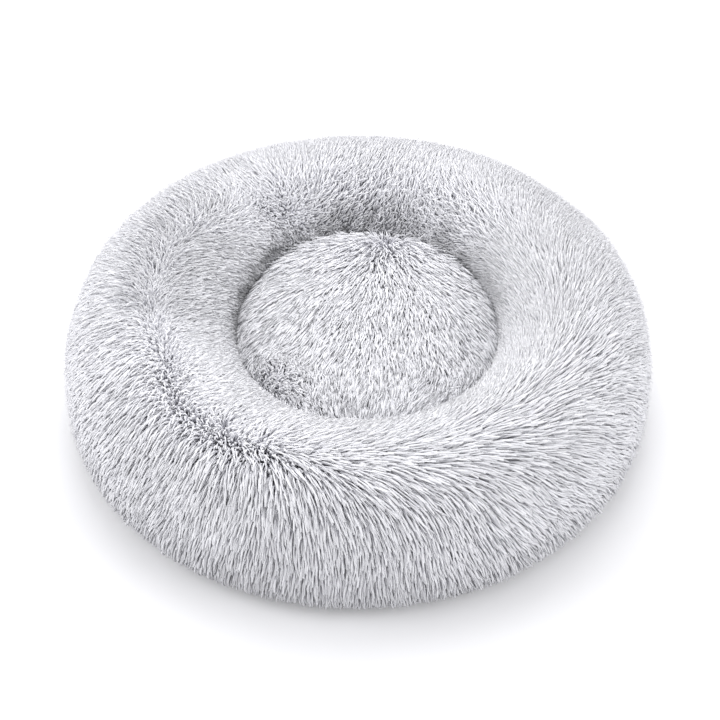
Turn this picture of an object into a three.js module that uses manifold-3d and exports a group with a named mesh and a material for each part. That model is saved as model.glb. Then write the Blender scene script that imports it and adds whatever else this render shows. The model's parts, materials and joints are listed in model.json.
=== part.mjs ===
// Donut pet bed: a stuffed ring in a long pile cover round a crowned cushion, on a flat base cloth
// with grip dots, and a zip in the border of the base at the back.
// Millimetres, +Z up, origin on the floor under the middle. The front faces -Y.
import * as THREE from "three";
import { mergeVertices } from "three/addons/utils/BufferGeometryUtils.js";
import Module from "manifold-3d";

const wasm = await Module();
wasm.setup();

// Whole bed, over the tips of the pile
const bedDiameter = 600;
const bedHeight = 165;
const ringOuterHalf = 79; // from the crest line out to the side
const outerWaistHeight = 50; // where the outside is widest
const innerWaistHeight = 80; // where the inside wall stands furthest in
const crestDip = 4; // how much lower the crest is at the front and back than at the sides
const openingWidth = 267;
const openingDepth = 302;
const openingShiftRight = 9.5;
const openingShiftBack = 2;

// Cloths and pile
const pileDepth = 16; // backing and standing pile together
const pileAtSeam = 2.5; // the pile thins out where the cover is sewn
const linerCloth = 1;
const wallCloth = 1;
const baseCloth = 1.2;
const clearance = 0.3; // between pieces that touch
const seamDrop = 15; // from the inside's waist down to the seam of the two covers and the wall
const seamCordRadius = 1.3;
const linerSeamGap = 1.5; // from the crest line to each edge of the ring lining's butted seam

// Cushion
const cushionWaistDrop = 2; // below the waist of the ring's inside
const shoulderRise = 23; // from the waist up to the shoulder
const crownRise = 14; // from the shoulder up to the middle
const cushionPile = 15;
const stuffingHoleRadius = 22;

// Base
const baseInset = 55.5; // from the bed's outline in to the edge of the base
const dotRadius = 4;
const dotHeight = 0.6;
const dotPitch = 52;
const dotMargin = 14; // bare cloth at the edge of the base

// Zip
const tapeThickness = 0.8;
const zipDrop = 3.4; // how far the tapes and the border hang below the stuffed ring
const coilWidth = 2.2;
const coilHeight = 2.2;
const coilGap = 1.6;
const sliderLength = 9;
const sliderWidth = 8.2;
const sliderPlate = 1;
const sliderBridge = 0.8;
const sliderFlange = 0.55;
const runningGap = 0.45; // round everything that the slider passes
const stopLength = 1.6;
const stopHeight = 3.2;
const endTabLength = 7;
const bailPinRadius = 0.45;
const bailPostWidth = 0.8;
const bailPostLength = 1.6;
const pullEyeRadius = 1.25;
const pullEyeBore = 0.8;
const pullEyeWidth = 3;
const pullNeckWidth = 2.6;
const pullNeckLength = 5;
const pullTabWidth = 7;
const pullTabLength = 16;
const pullThickness = 1;

// Angles and counts
const degree = Math.PI / 180;
const turnSteps = 48; // round the bed
const zipStart = 30 * degree;
const zipEnd = 150 * degree;
const zipSteps = 36;
const cordSides = 6;
const dotSides = 8;
const eyeSides = 12;

// Exponents of the rounded outlines: 2 is an ellipse, more is squarer
const upperRoundness = 2.3;
const innerRoundness = 2.1;
const outerLowerRoundness = 4;
const innerLowerRoundness = 4;
const coreLowerRoundness = 2.1;
const shoulderRoundness = 4;
const pileThinning = 3; // how late the pile of the inside wall thins out towards its seam

// Roll goes round the ring's section: 0 is outwards, 90 the crest, 180 the wall of the opening
const coverRolls = [-55, -30, 0, 16, 34, 52, 71, 90, 111, 132, 150, 166, 182];
const backingRolls = [182, 160, 136, 112, 88, 64, 40, 16, -12, -38];
const linerRolls = [-68, -38, -12, 40, 88, 136, 182, 225, 270];
const wallRolls = [183, 225, 245];
const borderRolls = [-68, -38];

// Shares of the way from the cushion's middle to its edge
const crownShares = [0, 0.3, 0.58, 0.78, 0.9, 0.97];

// Soft dents in the crest, as angles round the bed, with shares of the deepest
const dentDepth = 7;
const dentShares = [
  { turn: 174, spread: 9, share: 1 },
  { turn: 240, spread: 7, share: 0.9 },
  { turn: 256, spread: 5, share: 0.5 },
  { turn: 36, spread: 10, share: 0.6 },
];

const mergeTolerance = 1e-4; // corners of one solid that lie closer than this are the same

const crestRadius = bedDiameter / 2 - ringOuterHalf;
const baseRadius = bedDiameter / 2 - baseInset;
const baseTop = dotHeight + baseCloth;
const coreFloor = baseTop + clearance;
const seamHeight = innerWaistHeight - seamDrop;
const cushionWaist = innerWaistHeight - cushionWaistDrop;
const cushionShoulder = cushionWaist + shoulderRise;
const openingMiddle = new THREE.Vector2(openingShiftRight, openingShiftBack);
const group = new THREE.Group();

const colours = {
  pile: { color: 0xdcdce0, roughness: 0.85, metalness: 0 },
  lining: { color: 0xe8e8e6, roughness: 0.9, metalness: 0 },
  fibre: { color: 0xf4f4f2, roughness: 1, metalness: 0 },
  base: { color: 0xc9c9cd, roughness: 0.8, metalness: 0 },
  cord: { color: 0xcfcfd3, roughness: 0.8, metalness: 0 },
  tape: { color: 0xd2d2d6, roughness: 0.85, metalness: 0 },
  coil: { color: 0xe4e4e6, roughness: 0.4, metalness: 0 },
  metal: { color: 0xb9bbbf, roughness: 0.3, metalness: 1 },
};

// Adds a named piece with a material of its own.
function addPiece(name, geometry, look) {
  const mesh = new THREE.Mesh(geometry, new THREE.MeshStandardMaterial(colours[look]));
  mesh.name = name;
  group.add(mesh);
  return mesh;
}

// Geometry from points and triangles, turned to face outwards.
function closedSurface(points, triangles) {
  let volume = 0;
  for (const [a, b, c] of triangles) {
    volume += points[a].dot(points[b].clone().cross(points[c]));
  }
  const positions = [];
  for (const [a, b, c] of triangles) {
    const corners = volume < 0 ? [a, c, b] : [a, b, c];
    for (const corner of corners) positions.push(...points[corner].toArray());
  }
  const geometry = new THREE.BufferGeometry();
  geometry.setAttribute("position", new THREE.Float32BufferAttribute(positions, 3));
  geometry.computeVertexNormals();
  return geometry;
}

// The two triangles of a four-sided face a, b, d, c that bulge away from a middle point, so that
// nested pieces with like faces stay apart.
function bulgingFace(points, a, b, c, d, middle) {
  const sideB = points[b].clone().sub(points[a]);
  const sideC = points[c].clone().sub(points[a]);
  const normal = sideB.cross(sideC);
  const outwards = Math.sign(normal.dot(points[a].clone().sub(middle)));
  const raised = points[d].clone().sub(points[a]).dot(normal) * outwards > 0;
  return raised ? [[a, c, d], [a, d, b]] : [[a, c, b], [b, c, d]];
}

function middleOf(points) {
  const sum = new THREE.Vector3();
  for (const point of points) sum.add(point);
  return sum.divideScalar(points.length);
}

// A ring: loopAt(turn) gives the closed section there.
function ringSurface(loopAt) {
  const points = [];
  const triangles = [];
  let sides = 0;
  for (let i = 0; i < turnSteps; i++) {
    const loop = loopAt((i / turnSteps) * 2 * Math.PI);
    sides = loop.length;
    points.push(...loop);
  }
  for (let i = 0; i < turnSteps; i++) {
    const middle = middleOf(points.slice(i * sides, (i + 1) * sides));
    for (let j = 0; j < sides; j++) {
      const a = i * sides + j;
      const b = i * sides + ((j + 1) % sides);
      const c = ((i + 1) % turnSteps) * sides + j;
      const d = ((i + 1) % turnSteps) * sides + ((j + 1) % sides);
      triangles.push(...bulgingFace(points, a, b, c, d, middle));
    }
  }
  return closedSurface(points, triangles);
}

// A round piece whose section starts and ends on the axis: profileAt(turn) goes from one to the other.
function domeSurface(profileAt) {
  const rows = [];
  for (let i = 0; i < turnSteps; i++) rows.push(profileAt((i / turnSteps) * 2 * Math.PI));
  const last = rows[0].length - 1;
  const points = [rows[0][0], rows[0][last]];
  for (const row of rows) points.push(...row.slice(1, last));
  const at = (i, j) => 2 + (i % turnSteps) * (last - 1) + (j - 1);
  const triangles = [];
  const middle = new THREE.Vector3(openingMiddle.x, openingMiddle.y, 0);
  for (let i = 0; i < turnSteps; i++) {
    triangles.push([0, at(i + 1, 1), at(i, 1)]);
    for (let j = 1; j < last - 1; j++) {
      const corners = [at(i, j), at(i, j + 1), at(i + 1, j), at(i + 1, j + 1)];
      triangles.push(...bulgingFace(points, ...corners, middle));
    }
    triangles.push([1, at(i, last - 1), at(i + 1, last - 1)]);
  }
  return closedSurface(points, triangles);
}

// A stretch of ring between two angles, with flat ends.
function arcSurface(loopAt, start, end, steps) {
  const points = [];
  const triangles = [];
  const sides = loopAt(start).length;
  for (let i = 0; i <= steps; i++) points.push(...loopAt(start + ((end - start) * i) / steps));
  for (let i = 0; i < steps; i++) {
    for (let j = 0; j < sides; j++) {
      const a = i * sides + j;
      const b = i * sides + ((j + 1) % sides);
      triangles.push([a, a + sides, b], [b, a + sides, b + sides]);
    }
  }
  const lastLoop = steps * sides;
  for (let j = 1; j < sides - 1; j++) {
    triangles.push([0, j, j + 1], [lastLoop, lastLoop + j + 1, lastLoop + j]);
  }
  return closedSurface(points, triangles);
}

// Three.js geometry as a solid that can be joined and cut, and back again.
function toSolid(geometry) {
  const bare = new THREE.BufferGeometry();
  const source = geometry.index ? geometry.toNonIndexed() : geometry;
  bare.setAttribute("position", source.getAttribute("position"));
  const merged = mergeVertices(bare, mergeTolerance);
  return new wasm.Manifold(
    new wasm.Mesh({
      numProp: 3,
      vertProperties: new Float32Array(merged.attributes.position.array),
      triVerts: new Uint32Array(merged.index.array),
    }),
  );
}

function toGeometry(solid) {
  const mesh = solid.getMesh();
  const geometry = new THREE.BufferGeometry();
  geometry.setAttribute("position", new THREE.Float32BufferAttribute(mesh.vertProperties, 3));
  geometry.setIndex(new THREE.Uint32BufferAttribute(mesh.triVerts, 1));
  const flat = geometry.toNonIndexed();
  flat.computeVertexNormals();
  return flat;
}

// Outlines of the ring

const rounded = (value, exponent) => Math.abs(value) ** (2 / exponent);

function crestHeight(turn) {
  let height = bedHeight - crestDip * Math.sin(turn) ** 2;
  for (const dent of dentShares) {
    const away = Math.atan2(Math.sin(turn - dent.turn * degree), Math.cos(turn - dent.turn * degree));
    height -= dentDepth * dent.share * Math.exp(-((away / (dent.spread * degree)) ** 2));
  }
  return height;
}

// The wall of the opening at its waist.
function openingPoint(turn) {
  return new THREE.Vector2(
    openingShiftRight + (openingWidth / 2) * Math.cos(turn),
    openingShiftBack + (openingDepth / 2) * Math.sin(turn),
  );
}

// The direction from the opening's wall out to the crest line, and the distance.
function inwardReach(turn) {
  const crest = new THREE.Vector2(Math.cos(turn), Math.sin(turn)).multiplyScalar(crestRadius);
  const reach = openingPoint(turn).sub(crest);
  return { crest, direction: reach.clone().normalize(), distance: reach.length() };
}

// A point at a sideways distance from the crest line, outwards if it is positive, and a height.
function ringPlace(turn, aside, height) {
  if (aside >= 0) {
    const radius = crestRadius + aside;
    return new THREE.Vector3(radius * Math.cos(turn), radius * Math.sin(turn), height);
  }
  const { crest, direction } = inwardReach(turn);
  const place = crest.addScaledVector(direction, -aside);
  return new THREE.Vector3(place.x, place.y, height);
}

// The outer form, over the tips of the pile.
function pilePoint(turn, roll) {
  const across = Math.cos(roll * degree);
  const up = Math.sin(roll * degree);
  const top = crestHeight(turn);
  if (across >= 0) {
    const exponent = up >= 0 ? upperRoundness : outerLowerRoundness;
    const reach = up >= 0 ? top - outerWaistHeight : -(outerWaistHeight - coreFloor);
    const aside = ringOuterHalf * rounded(across, exponent);
    return ringPlace(turn, aside, outerWaistHeight + reach * rounded(up, exponent));
  }
  const exponent = up >= 0 ? innerRoundness : innerLowerRoundness;
  const reach = up >= 0 ? top - innerWaistHeight : -(innerWaistHeight - coreFloor);
  const aside = -inwardReach(turn).distance * rounded(across, exponent);
  return ringPlace(turn, aside, innerWaistHeight + reach * rounded(up, exponent));
}

// The stuffed ring inside the pile, made smaller all round by inset.
function corePoint(turn, roll, inset) {
  const across = Math.cos(roll * degree);
  const up = Math.sin(roll * degree);
  const top = crestHeight(turn) - pileDepth - inset;
  const floor = coreFloor + inset;
  if (across >= 0) {
    const exponent = up >= 0 ? upperRoundness : coreLowerRoundness;
    const reach = up >= 0 ? top - outerWaistHeight : -(outerWaistHeight - floor);
    const aside = (ringOuterHalf - pileDepth - inset) * rounded(across, exponent);
    return ringPlace(turn, aside, outerWaistHeight + reach * rounded(up, exponent));
  }
  const exponent = up >= 0 ? innerRoundness : innerLowerRoundness;
  const reach = up >= 0 ? top - innerWaistHeight : -(innerWaistHeight - floor);
  const thinning = up >= 0 ? 1 - Math.abs(across) ** pileThinning : 0;
  const pileThere = pileAtSeam + (pileDepth - pileAtSeam) * thinning;
  const aside = -(inwardReach(turn).distance - pileThere - inset) * rounded(across, exponent);
  return ringPlace(turn, aside, innerWaistHeight + reach * rounded(up, exponent));
}

// The same place, no lower than the seam if it is on the opening's wall.
function aboveSeam(point, roll) {
  return roll > 180 ? point.setZ(Math.max(point.z, seamHeight)) : point;
}

addPiece(
  "bolster_fur",
  ringSurface((turn) => [
    ...coverRolls.map((roll) => aboveSeam(pilePoint(turn, roll), roll)),
    ...backingRolls.map((roll) => aboveSeam(corePoint(turn, roll, 0), roll)),
  ]),
  "pile",
);

// A strip of cloth wrapped round the fibre. Its edges meet in a butted seam on the underside.
addPiece(
  "bolster_liner",
  ringSurface((turn) => {
    const outside = linerRolls.map((roll) => corePoint(turn, roll, clearance));
    const inside = linerRolls.map((roll) => corePoint(turn, roll, clearance + linerCloth));
    // From the inner edge of the underside to its outer edge, leaving the gap of the seam
    const seam = (inset, aside) => ringPlace(turn, aside, coreFloor + inset);
    return [
      seam(clearance, linerSeamGap),
      ...outside,
      ...inside.reverse(),
      seam(clearance + linerCloth, linerSeamGap),
    ];
  }),
  "lining",
);

addPiece(
  "bolster_fill",
  ringSurface((turn) => linerRolls.map((roll) => corePoint(turn, roll, 2 * clearance + linerCloth))),
  "fibre",
);

// The cloth wall between the ring and the cushion, from the base up to the seam.
addPiece(
  "tunnel_wall",
  ringSurface((turn) => [
    ...wallRolls.map((roll) => corePoint(turn, roll, -clearance)),
    ...[...wallRolls].reverse().map((roll) => corePoint(turn, roll, -clearance - wallCloth)),
  ]),
  "lining",
);

// Cushion

// A point at a distance inwards from the opening's wall.
function cushionPlace(turn, inset, height) {
  const wall = openingPoint(turn);
  const place = wall.clone().addScaledVector(openingMiddle.clone().sub(wall).normalize(), inset);
  return new THREE.Vector3(place.x, place.y, height);
}

// The crowned top at a share of the way out, between a waist and a shoulder, inset at the edge.
function crownPoint(turn, share, waist, shoulder, inset) {
  const edge = cushionPlace(turn, inset, 0);
  const place = openingMiddle.clone().lerp(new THREE.Vector2(edge.x, edge.y), share);
  const body = (shoulder - waist) * (1 - share ** shoulderRoundness) ** (1 / shoulderRoundness);
  const crown = crownRise * (1 - share ** 2);
  return new THREE.Vector3(place.x, place.y, waist + body + crown);
}

const crownRow = (turn, waist, shoulder, inset) =>
  crownShares.map((share) => crownPoint(turn, share, waist, shoulder, inset));

const coverSkirt = seamHeight + clearance; // the lower edge of the cushion's cover
const backingShoulder = cushionShoulder - cushionPile;
const backingWaist = (coverSkirt + backingShoulder) / 2;
const edgeInset = 2 * clearance + pileAtSeam;

addPiece(
  "cushion_fur",
  domeSurface((turn) => [
    ...crownRow(turn, cushionWaist, cushionShoulder, clearance),
    cushionPlace(turn, clearance, cushionWaist),
    cushionPlace(turn, clearance, coverSkirt),
    cushionPlace(turn, edgeInset, coverSkirt),
    cushionPlace(turn, edgeInset, backingWaist),
    ...crownRow(turn, backingWaist, backingShoulder, edgeInset).reverse(),
  ]),
  "pile",
);

// The stuffed cushion's outline, from its middle out and down its side to the base: below the
// seam it follows the wall. Made smaller all round by inset.
const cordInset = clearance + 2 * seamCordRadius;
function bagRow(turn, inset) {
  const wall = corePoint(turn, wallRolls[1], -2 * clearance - wallCloth);
  const side = [
    cushionPlace(turn, edgeInset, seamHeight),
    cushionPlace(turn, cordInset, seamHeight - 2 * seamCordRadius - clearance),
    wall,
    wall.clone().setZ(baseTop + clearance + inset),
  ];
  for (const point of side) {
    const inwards = new THREE.Vector2(openingMiddle.x - point.x, openingMiddle.y - point.y);
    inwards.setLength(inset);
    point.set(point.x + inwards.x, point.y + inwards.y, point.z);
  }
  return [...crownRow(turn, backingWaist, backingShoulder - inset, edgeInset + inset), ...side];
}

addPiece(
  "cushion_liner",
  domeSurface((turn) => {
    const rim = new THREE.Vector2(Math.cos(turn), Math.sin(turn)).multiplyScalar(stuffingHoleRadius);
    rim.add(openingMiddle);
    return [
      ...bagRow(turn, clearance),
      new THREE.Vector3(rim.x, rim.y, baseTop + 2 * clearance),
      new THREE.Vector3(rim.x, rim.y, baseTop + 2 * clearance + linerCloth),
      ...bagRow(turn, clearance + linerCloth).reverse(),
    ];
  }),
  "lining",
);

addPiece(
  "cushion_fill",
  domeSurface((turn) => [
    ...bagRow(turn, 2 * clearance + linerCloth),
    new THREE.Vector3(openingMiddle.x, openingMiddle.y, baseTop + 3 * clearance + linerCloth),
  ]),
  "fibre",
);

// A cord of the seams, along a line round the bed.
function addSeamCord(name, centreAt) {
  const loopAt = (turn) => {
    const centre = centreAt(turn);
    const points = [];
    for (let i = 0; i < cordSides; i++) {
      const around = ((i + 0.5) / cordSides) * 2 * Math.PI;
      const aside = seamCordRadius * Math.cos(around);
      points.push(
        new THREE.Vector3(
          centre.x + aside * Math.cos(turn),
          centre.y + aside * Math.sin(turn),
          centre.z + seamCordRadius * Math.sin(around),
        ),
      );
    }
    return points;
  };
  addPiece(name, ringSurface(loopAt), "cord");
}

addSeamCord("inner_seam_cord", (turn) =>
  cushionPlace(turn, clearance + seamCordRadius, seamHeight - seamCordRadius),
);

// Base cloth with its printed grip dots

function dotPlaces() {
  const places = [];
  const rowPitch = dotPitch * Math.sin(60 * degree);
  const reach = baseRadius - dotMargin;
  const rows = Math.floor(reach / rowPitch);
  for (let row = -rows; row <= rows; row++) {
    const shift = row % 2 === 0 ? 0 : dotPitch / 2;
    const columns = Math.ceil(reach / dotPitch) + 1;
    for (let column = -columns; column <= columns; column++) {
      const place = new THREE.Vector2(column * dotPitch + shift, row * rowPitch);
      if (place.length() <= reach) places.push(place);
    }
  }
  return places;
}

function disc(radius, thickness, sides, place, height) {
  const geometry = new THREE.CylinderGeometry(radius, radius, thickness, sides);
  geometry.rotateX(Math.PI / 2);
  geometry.translate(place.x, place.y, height + thickness / 2);
  return toSolid(geometry);
}

let base = disc(baseRadius, baseCloth, turnSteps, new THREE.Vector2(), dotHeight);
for (const place of dotPlaces()) {
  base = base.add(disc(dotRadius, dotHeight + baseCloth / 2, dotSides, place, 0));
}
addPiece("base_panel", toGeometry(base), "base");

// Border of the base: a sloping strip under the ring, with the zip in it at the back.
// Its section is a straight line. Along goes from the base out to the ring's cover, drop is
// the distance below the strip's middle.
const stripInner = corePoint(0, borderRolls[0], 0);
const stripOuter = corePoint(0, borderRolls[1], 0);
const stripAlong = new THREE.Vector2(stripOuter.x - stripInner.x, stripOuter.z - stripInner.z).normalize();
const stripOut = new THREE.Vector2(stripAlong.y, -stripAlong.x);
const stripStart = new THREE.Vector2(stripInner.x, stripInner.z).addScaledVector(stripOut, zipDrop);

function stripPlace(turn, along, drop) {
  const place = stripStart.clone().addScaledVector(stripAlong, along).addScaledVector(stripOut, drop);
  return new THREE.Vector3(place.x * Math.cos(turn), place.x * Math.sin(turn), place.y);
}

// Where the strip would meet the end face of the ring's cover.
function stripReach() {
  const tip = pilePoint(0, coverRolls[0]);
  const root = stripOuter;
  const face = new THREE.Vector2(root.x - tip.x, root.z - tip.z).normalize();
  const normal = new THREE.Vector2(face.y, -face.x);
  const gap = new THREE.Vector2(tip.x - stripStart.x, tip.z - stripStart.y).dot(normal);
  return gap / stripAlong.dot(normal);
}

const stripLength = stripReach();
const outerCordPlace = stripLength - clearance - seamCordRadius;
// The ring's flat faces cut its curve short by this much
const chordSag = bedDiameter * (1 - Math.cos(Math.PI / turnSteps)) / 2;
const stripTo = outerCordPlace - seamCordRadius - clearance - chordSag;
const baseCordRadius = baseRadius + clearance + seamCordRadius;
const stripFrom = (baseCordRadius + seamCordRadius + clearance - stripStart.x) / stripAlong.x;
const borderSteps = Math.round(turnSteps * (1 - (zipEnd - zipStart) / (2 * Math.PI)));
const zipMiddle = (stripFrom + stripTo) / 2;
const zipRadius = stripStart.x + stripAlong.x * zipMiddle;

addSeamCord("outer_seam_cord", (turn) => stripPlace(turn, outerCordPlace, 0));
addSeamCord("base_seam_cord", (turn) => {
  const place = new THREE.Vector2(Math.cos(turn), Math.sin(turn)).multiplyScalar(baseCordRadius);
  return new THREE.Vector3(place.x, place.y, dotHeight + seamCordRadius);
});

const stripLoop = (from, to, low, high) => (turn) => [
  stripPlace(turn, from, low),
  stripPlace(turn, to, low),
  stripPlace(turn, to, high),
  stripPlace(turn, from, high),
];

const endGap = clearance / zipRadius;
addPiece(
  "base_border",
  arcSurface(
    stripLoop(stripFrom, stripTo, -baseCloth / 2, baseCloth / 2),
    zipEnd + endGap,
    zipStart - endGap + 2 * Math.PI,
    borderSteps,
  ),
  "base",
);

// Zip

const tapeEdge = coilGap / 2 + coilWidth + clearance;
addPiece(
  "zip_tape_inner",
  arcSurface(
    stripLoop(stripFrom, zipMiddle - tapeEdge, -tapeThickness / 2, tapeThickness / 2),
    zipStart,
    zipEnd,
    zipSteps,
  ),
  "tape",
);
addPiece(
  "zip_tape_outer",
  arcSurface(
    stripLoop(zipMiddle + tapeEdge, stripTo, -tapeThickness / 2, tapeThickness / 2),
    zipStart,
    zipEnd,
    zipSteps,
  ),
  "tape",
);

const arcOf = (length) => length / zipRadius;
const stopFrom = arcOf(endTabLength + clearance);
const coilFrom = stopFrom + arcOf(stopLength + clearance);

function coilLoop(side) {
  const middle = zipMiddle + side * (coilGap / 2 + coilWidth / 2);
  return (turn) => {
    const points = [];
    for (let i = 0; i < cordSides; i++) {
      const around = (i / cordSides) * 2 * Math.PI;
      const along = (coilWidth / 2) * Math.cos(around);
      points.push(stripPlace(turn, middle + along, (coilHeight / 2) * Math.sin(around)));
    }
    return points;
  };
}

for (const [name, side] of [["zip_coil_inner", -1], ["zip_coil_outer", 1]]) {
  addPiece(name, arcSurface(coilLoop(side), zipStart + coilFrom, zipEnd - coilFrom, zipSteps), "coil");
}

// A group that stands on the strip: X along its slope, Y out of it, Z round the bed.
function stripFrame(turn) {
  const turned = (flat) => new THREE.Vector3(flat.x * Math.cos(turn), flat.x * Math.sin(turn), flat.y);
  const slope = turned(stripAlong);
  const outwards = turned(stripOut);
  const basis = new THREE.Matrix4().makeBasis(slope, outwards, slope.clone().cross(outwards));
  const frame = new THREE.Group();
  frame.applyMatrix4(basis.setPosition(stripPlace(turn, zipMiddle, 0)));
  group.add(frame);
  return frame;
}

function boxAt(width, height, length, x, y, z) {
  const geometry = new THREE.BoxGeometry(width, height, length);
  geometry.translate(x, y, z);
  return geometry;
}

// Two clamps that end the chain.
const stopWidth = coilGap + 2 * coilWidth;
for (const [name, turn] of [
  ["zip_stop_closed", zipStart + stopFrom + arcOf(stopLength / 2)],
  ["zip_stop_open", zipEnd - stopFrom - arcOf(stopLength / 2)],
]) {
  stripFrame(turn).add(addPiece(name, boxAt(stopWidth, stopHeight, stopLength, 0, 0, 0), "metal"));
}

// A cloth tab over each end of the tapes.
const tabDrop = tapeThickness / 2 + clearance + tapeThickness / 2;
for (const [name, from] of [
  ["zip_end_tab_right", zipStart],
  ["zip_end_tab_left", zipEnd - arcOf(endTabLength)],
]) {
  const tab = stripLoop(stripFrom, stripTo, tabDrop - tapeThickness / 2, tabDrop + tapeThickness / 2);
  addPiece(name, arcSurface(tab, from, from + arcOf(endTabLength), 2), "tape");
}

// The slider: two plates joined by a bridge between the coils, flanges at the sides, and a bail.
const plateFrom = coilHeight / 2 + runningGap;
const plateMiddle = plateFrom + sliderPlate / 2;
const flangeFrom = tapeThickness / 2 + runningGap;
const pinDrop = plateFrom + sliderPlate + runningGap + pullEyeRadius;
const postGap = pullEyeWidth / 2 + clearance;
const sliderTurn = zipStart + coilFrom + arcOf(runningGap + sliderLength / 2);

let slider = toSolid(boxAt(sliderBridge, 2 * plateMiddle, sliderLength, 0, 0, 0));
for (const side of [-1, 1]) {
  slider = slider.add(toSolid(boxAt(sliderWidth, sliderPlate, sliderLength, 0, side * plateMiddle, 0)));
  const flangeHeight = plateMiddle - flangeFrom;
  for (const hand of [-1, 1]) {
    const x = hand * (sliderWidth - sliderFlange) / 2;
    const y = side * (flangeFrom + flangeHeight / 2);
    slider = slider.add(toSolid(boxAt(sliderFlange, flangeHeight, sliderLength, x, y, 0)));
  }
}
const postHeight = pinDrop + 2 * bailPinRadius - plateMiddle;
for (const hand of [-1, 1]) {
  const x = hand * (postGap + bailPostWidth / 2);
  const post = boxAt(bailPostWidth, postHeight, bailPostLength, x, plateMiddle + postHeight / 2, 0);
  slider = slider.add(toSolid(post));
}
const pin = new THREE.CylinderGeometry(bailPinRadius, bailPinRadius, 2 * postGap + bailPostWidth, dotSides);
pin.rotateZ(Math.PI / 2);
pin.translate(0, pinDrop, 0);
slider = slider.add(toSolid(pin));
const sliderFrame = stripFrame(sliderTurn);
sliderFrame.add(addPiece("zip_slider", toGeometry(slider), "metal"));

// The pull: an eye round the bail's pin, a neck and a flat tab, lying along the chain.
function tube(outer, bore, width) {
  const ring = new THREE.Shape().absarc(0, 0, outer, 0, 2 * Math.PI);
  ring.holes.push(new THREE.Path().absarc(0, 0, bore, 0, 2 * Math.PI, true));
  const geometry = new THREE.ExtrudeGeometry(ring, {
    depth: width,
    bevelEnabled: false,
    curveSegments: eyeSides,
  });
  geometry.translate(0, 0, -width / 2);
  geometry.rotateY(Math.PI / 2);
  return geometry;
}

const neckFrom = (pullEyeRadius + pullEyeBore) / 2;
const tabRound = pullTabWidth / 2;
const outline = new THREE.Shape();
outline.moveTo(-pullNeckWidth / 2, neckFrom);
outline.lineTo(pullNeckWidth / 2, neckFrom);
outline.lineTo(pullNeckWidth / 2, pullNeckLength);
outline.lineTo(tabRound, pullNeckLength + tabRound - pullNeckWidth / 2);
outline.lineTo(tabRound, pullNeckLength + pullTabLength - tabRound);
outline.absarc(0, pullNeckLength + pullTabLength - tabRound, tabRound, 0, Math.PI);
outline.lineTo(-tabRound, pullNeckLength + tabRound - pullNeckWidth / 2);
outline.lineTo(-pullNeckWidth / 2, pullNeckLength);
const tab = new THREE.ExtrudeGeometry(outline, {
  depth: pullThickness,
  bevelEnabled: false,
  curveSegments: eyeSides / 2,
});
tab.translate(0, 0, -pullThickness / 2);
tab.rotateX(Math.PI / 2);
const pull = toSolid(tube(pullEyeRadius, pullEyeBore, pullEyeWidth)).add(toSolid(tab));
const pullMesh = addPiece("zip_pull", toGeometry(pull), "metal");
pullMesh.position.set(0, pinDrop, 0);
sliderFrame.add(pullMesh);

export default group;
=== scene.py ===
"""Dresses the donut pet bed: long pile on a stuffed ring and cushion, cloths, seams and the zip."""
import itertools
import json
import math
from typing import NamedTuple

import bmesh
import bpy
import numpy as np
from bpy.props import FloatProperty, FloatVectorProperty, IntProperty, PointerProperty
from mathutils import Matrix, Vector, kdtree

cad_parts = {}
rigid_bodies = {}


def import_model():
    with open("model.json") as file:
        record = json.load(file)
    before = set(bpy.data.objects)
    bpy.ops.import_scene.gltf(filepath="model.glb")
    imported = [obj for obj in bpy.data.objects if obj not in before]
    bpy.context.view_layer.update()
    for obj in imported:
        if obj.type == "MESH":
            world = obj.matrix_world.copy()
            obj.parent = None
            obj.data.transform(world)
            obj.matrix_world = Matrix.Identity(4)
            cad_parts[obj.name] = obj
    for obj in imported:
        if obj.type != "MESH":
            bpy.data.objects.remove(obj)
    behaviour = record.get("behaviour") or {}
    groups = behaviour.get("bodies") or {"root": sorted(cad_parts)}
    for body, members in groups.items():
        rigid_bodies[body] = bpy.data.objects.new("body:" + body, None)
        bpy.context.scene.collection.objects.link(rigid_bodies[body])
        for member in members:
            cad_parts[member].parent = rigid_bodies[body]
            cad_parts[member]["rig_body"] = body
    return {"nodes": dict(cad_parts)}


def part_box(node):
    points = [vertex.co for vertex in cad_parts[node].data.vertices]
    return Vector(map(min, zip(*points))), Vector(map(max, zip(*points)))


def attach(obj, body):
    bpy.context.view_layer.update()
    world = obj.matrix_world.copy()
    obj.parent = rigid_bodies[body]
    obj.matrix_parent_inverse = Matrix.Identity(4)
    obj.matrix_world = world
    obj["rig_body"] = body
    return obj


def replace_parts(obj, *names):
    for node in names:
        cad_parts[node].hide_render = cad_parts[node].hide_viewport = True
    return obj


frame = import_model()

bl_info = {
    "name": "Donut pet bed",
    "version": (1, 0, 0),
    "blender": (4, 5, 0),
    "location": "3D View > Sidebar > Pet bed",
    "description": "Makes the cloths, pile, stuffing and zip of a round plush pet bed",
    "category": "Object",
}

MM = 0.001
DEGREE = math.pi / 180
FULL_TURN = 2 * math.pi
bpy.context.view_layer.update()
RING_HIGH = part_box("bolster_fur")[1]
BASE_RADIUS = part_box("base_panel")[1][0]
CUSHION_LOW, CUSHION_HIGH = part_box("cushion_fur")
# The cushion fills the opening, so its box gives the opening's middle
MIDDLE_X = (CUSHION_LOW[0] + CUSHION_HIGH[0]) / 2
MIDDLE_Y = (CUSHION_LOW[1] + CUSHION_HIGH[1]) / 2
CUSHION_HALF_X = (CUSHION_HIGH[0] - CUSHION_LOW[0]) / 2
CUSHION_HALF_Y = (CUSHION_HIGH[1] - CUSHION_LOW[1]) / 2
# How square the ring's section is at its shoulders and its foot: 2 is round
OUTER_SHOULDER = 2.3
INNER_SHOULDER = 2.1
INNER_FOOT = 4.0
CORE_FOOT = 2.1
PILE_FOOT = 4.2
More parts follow.
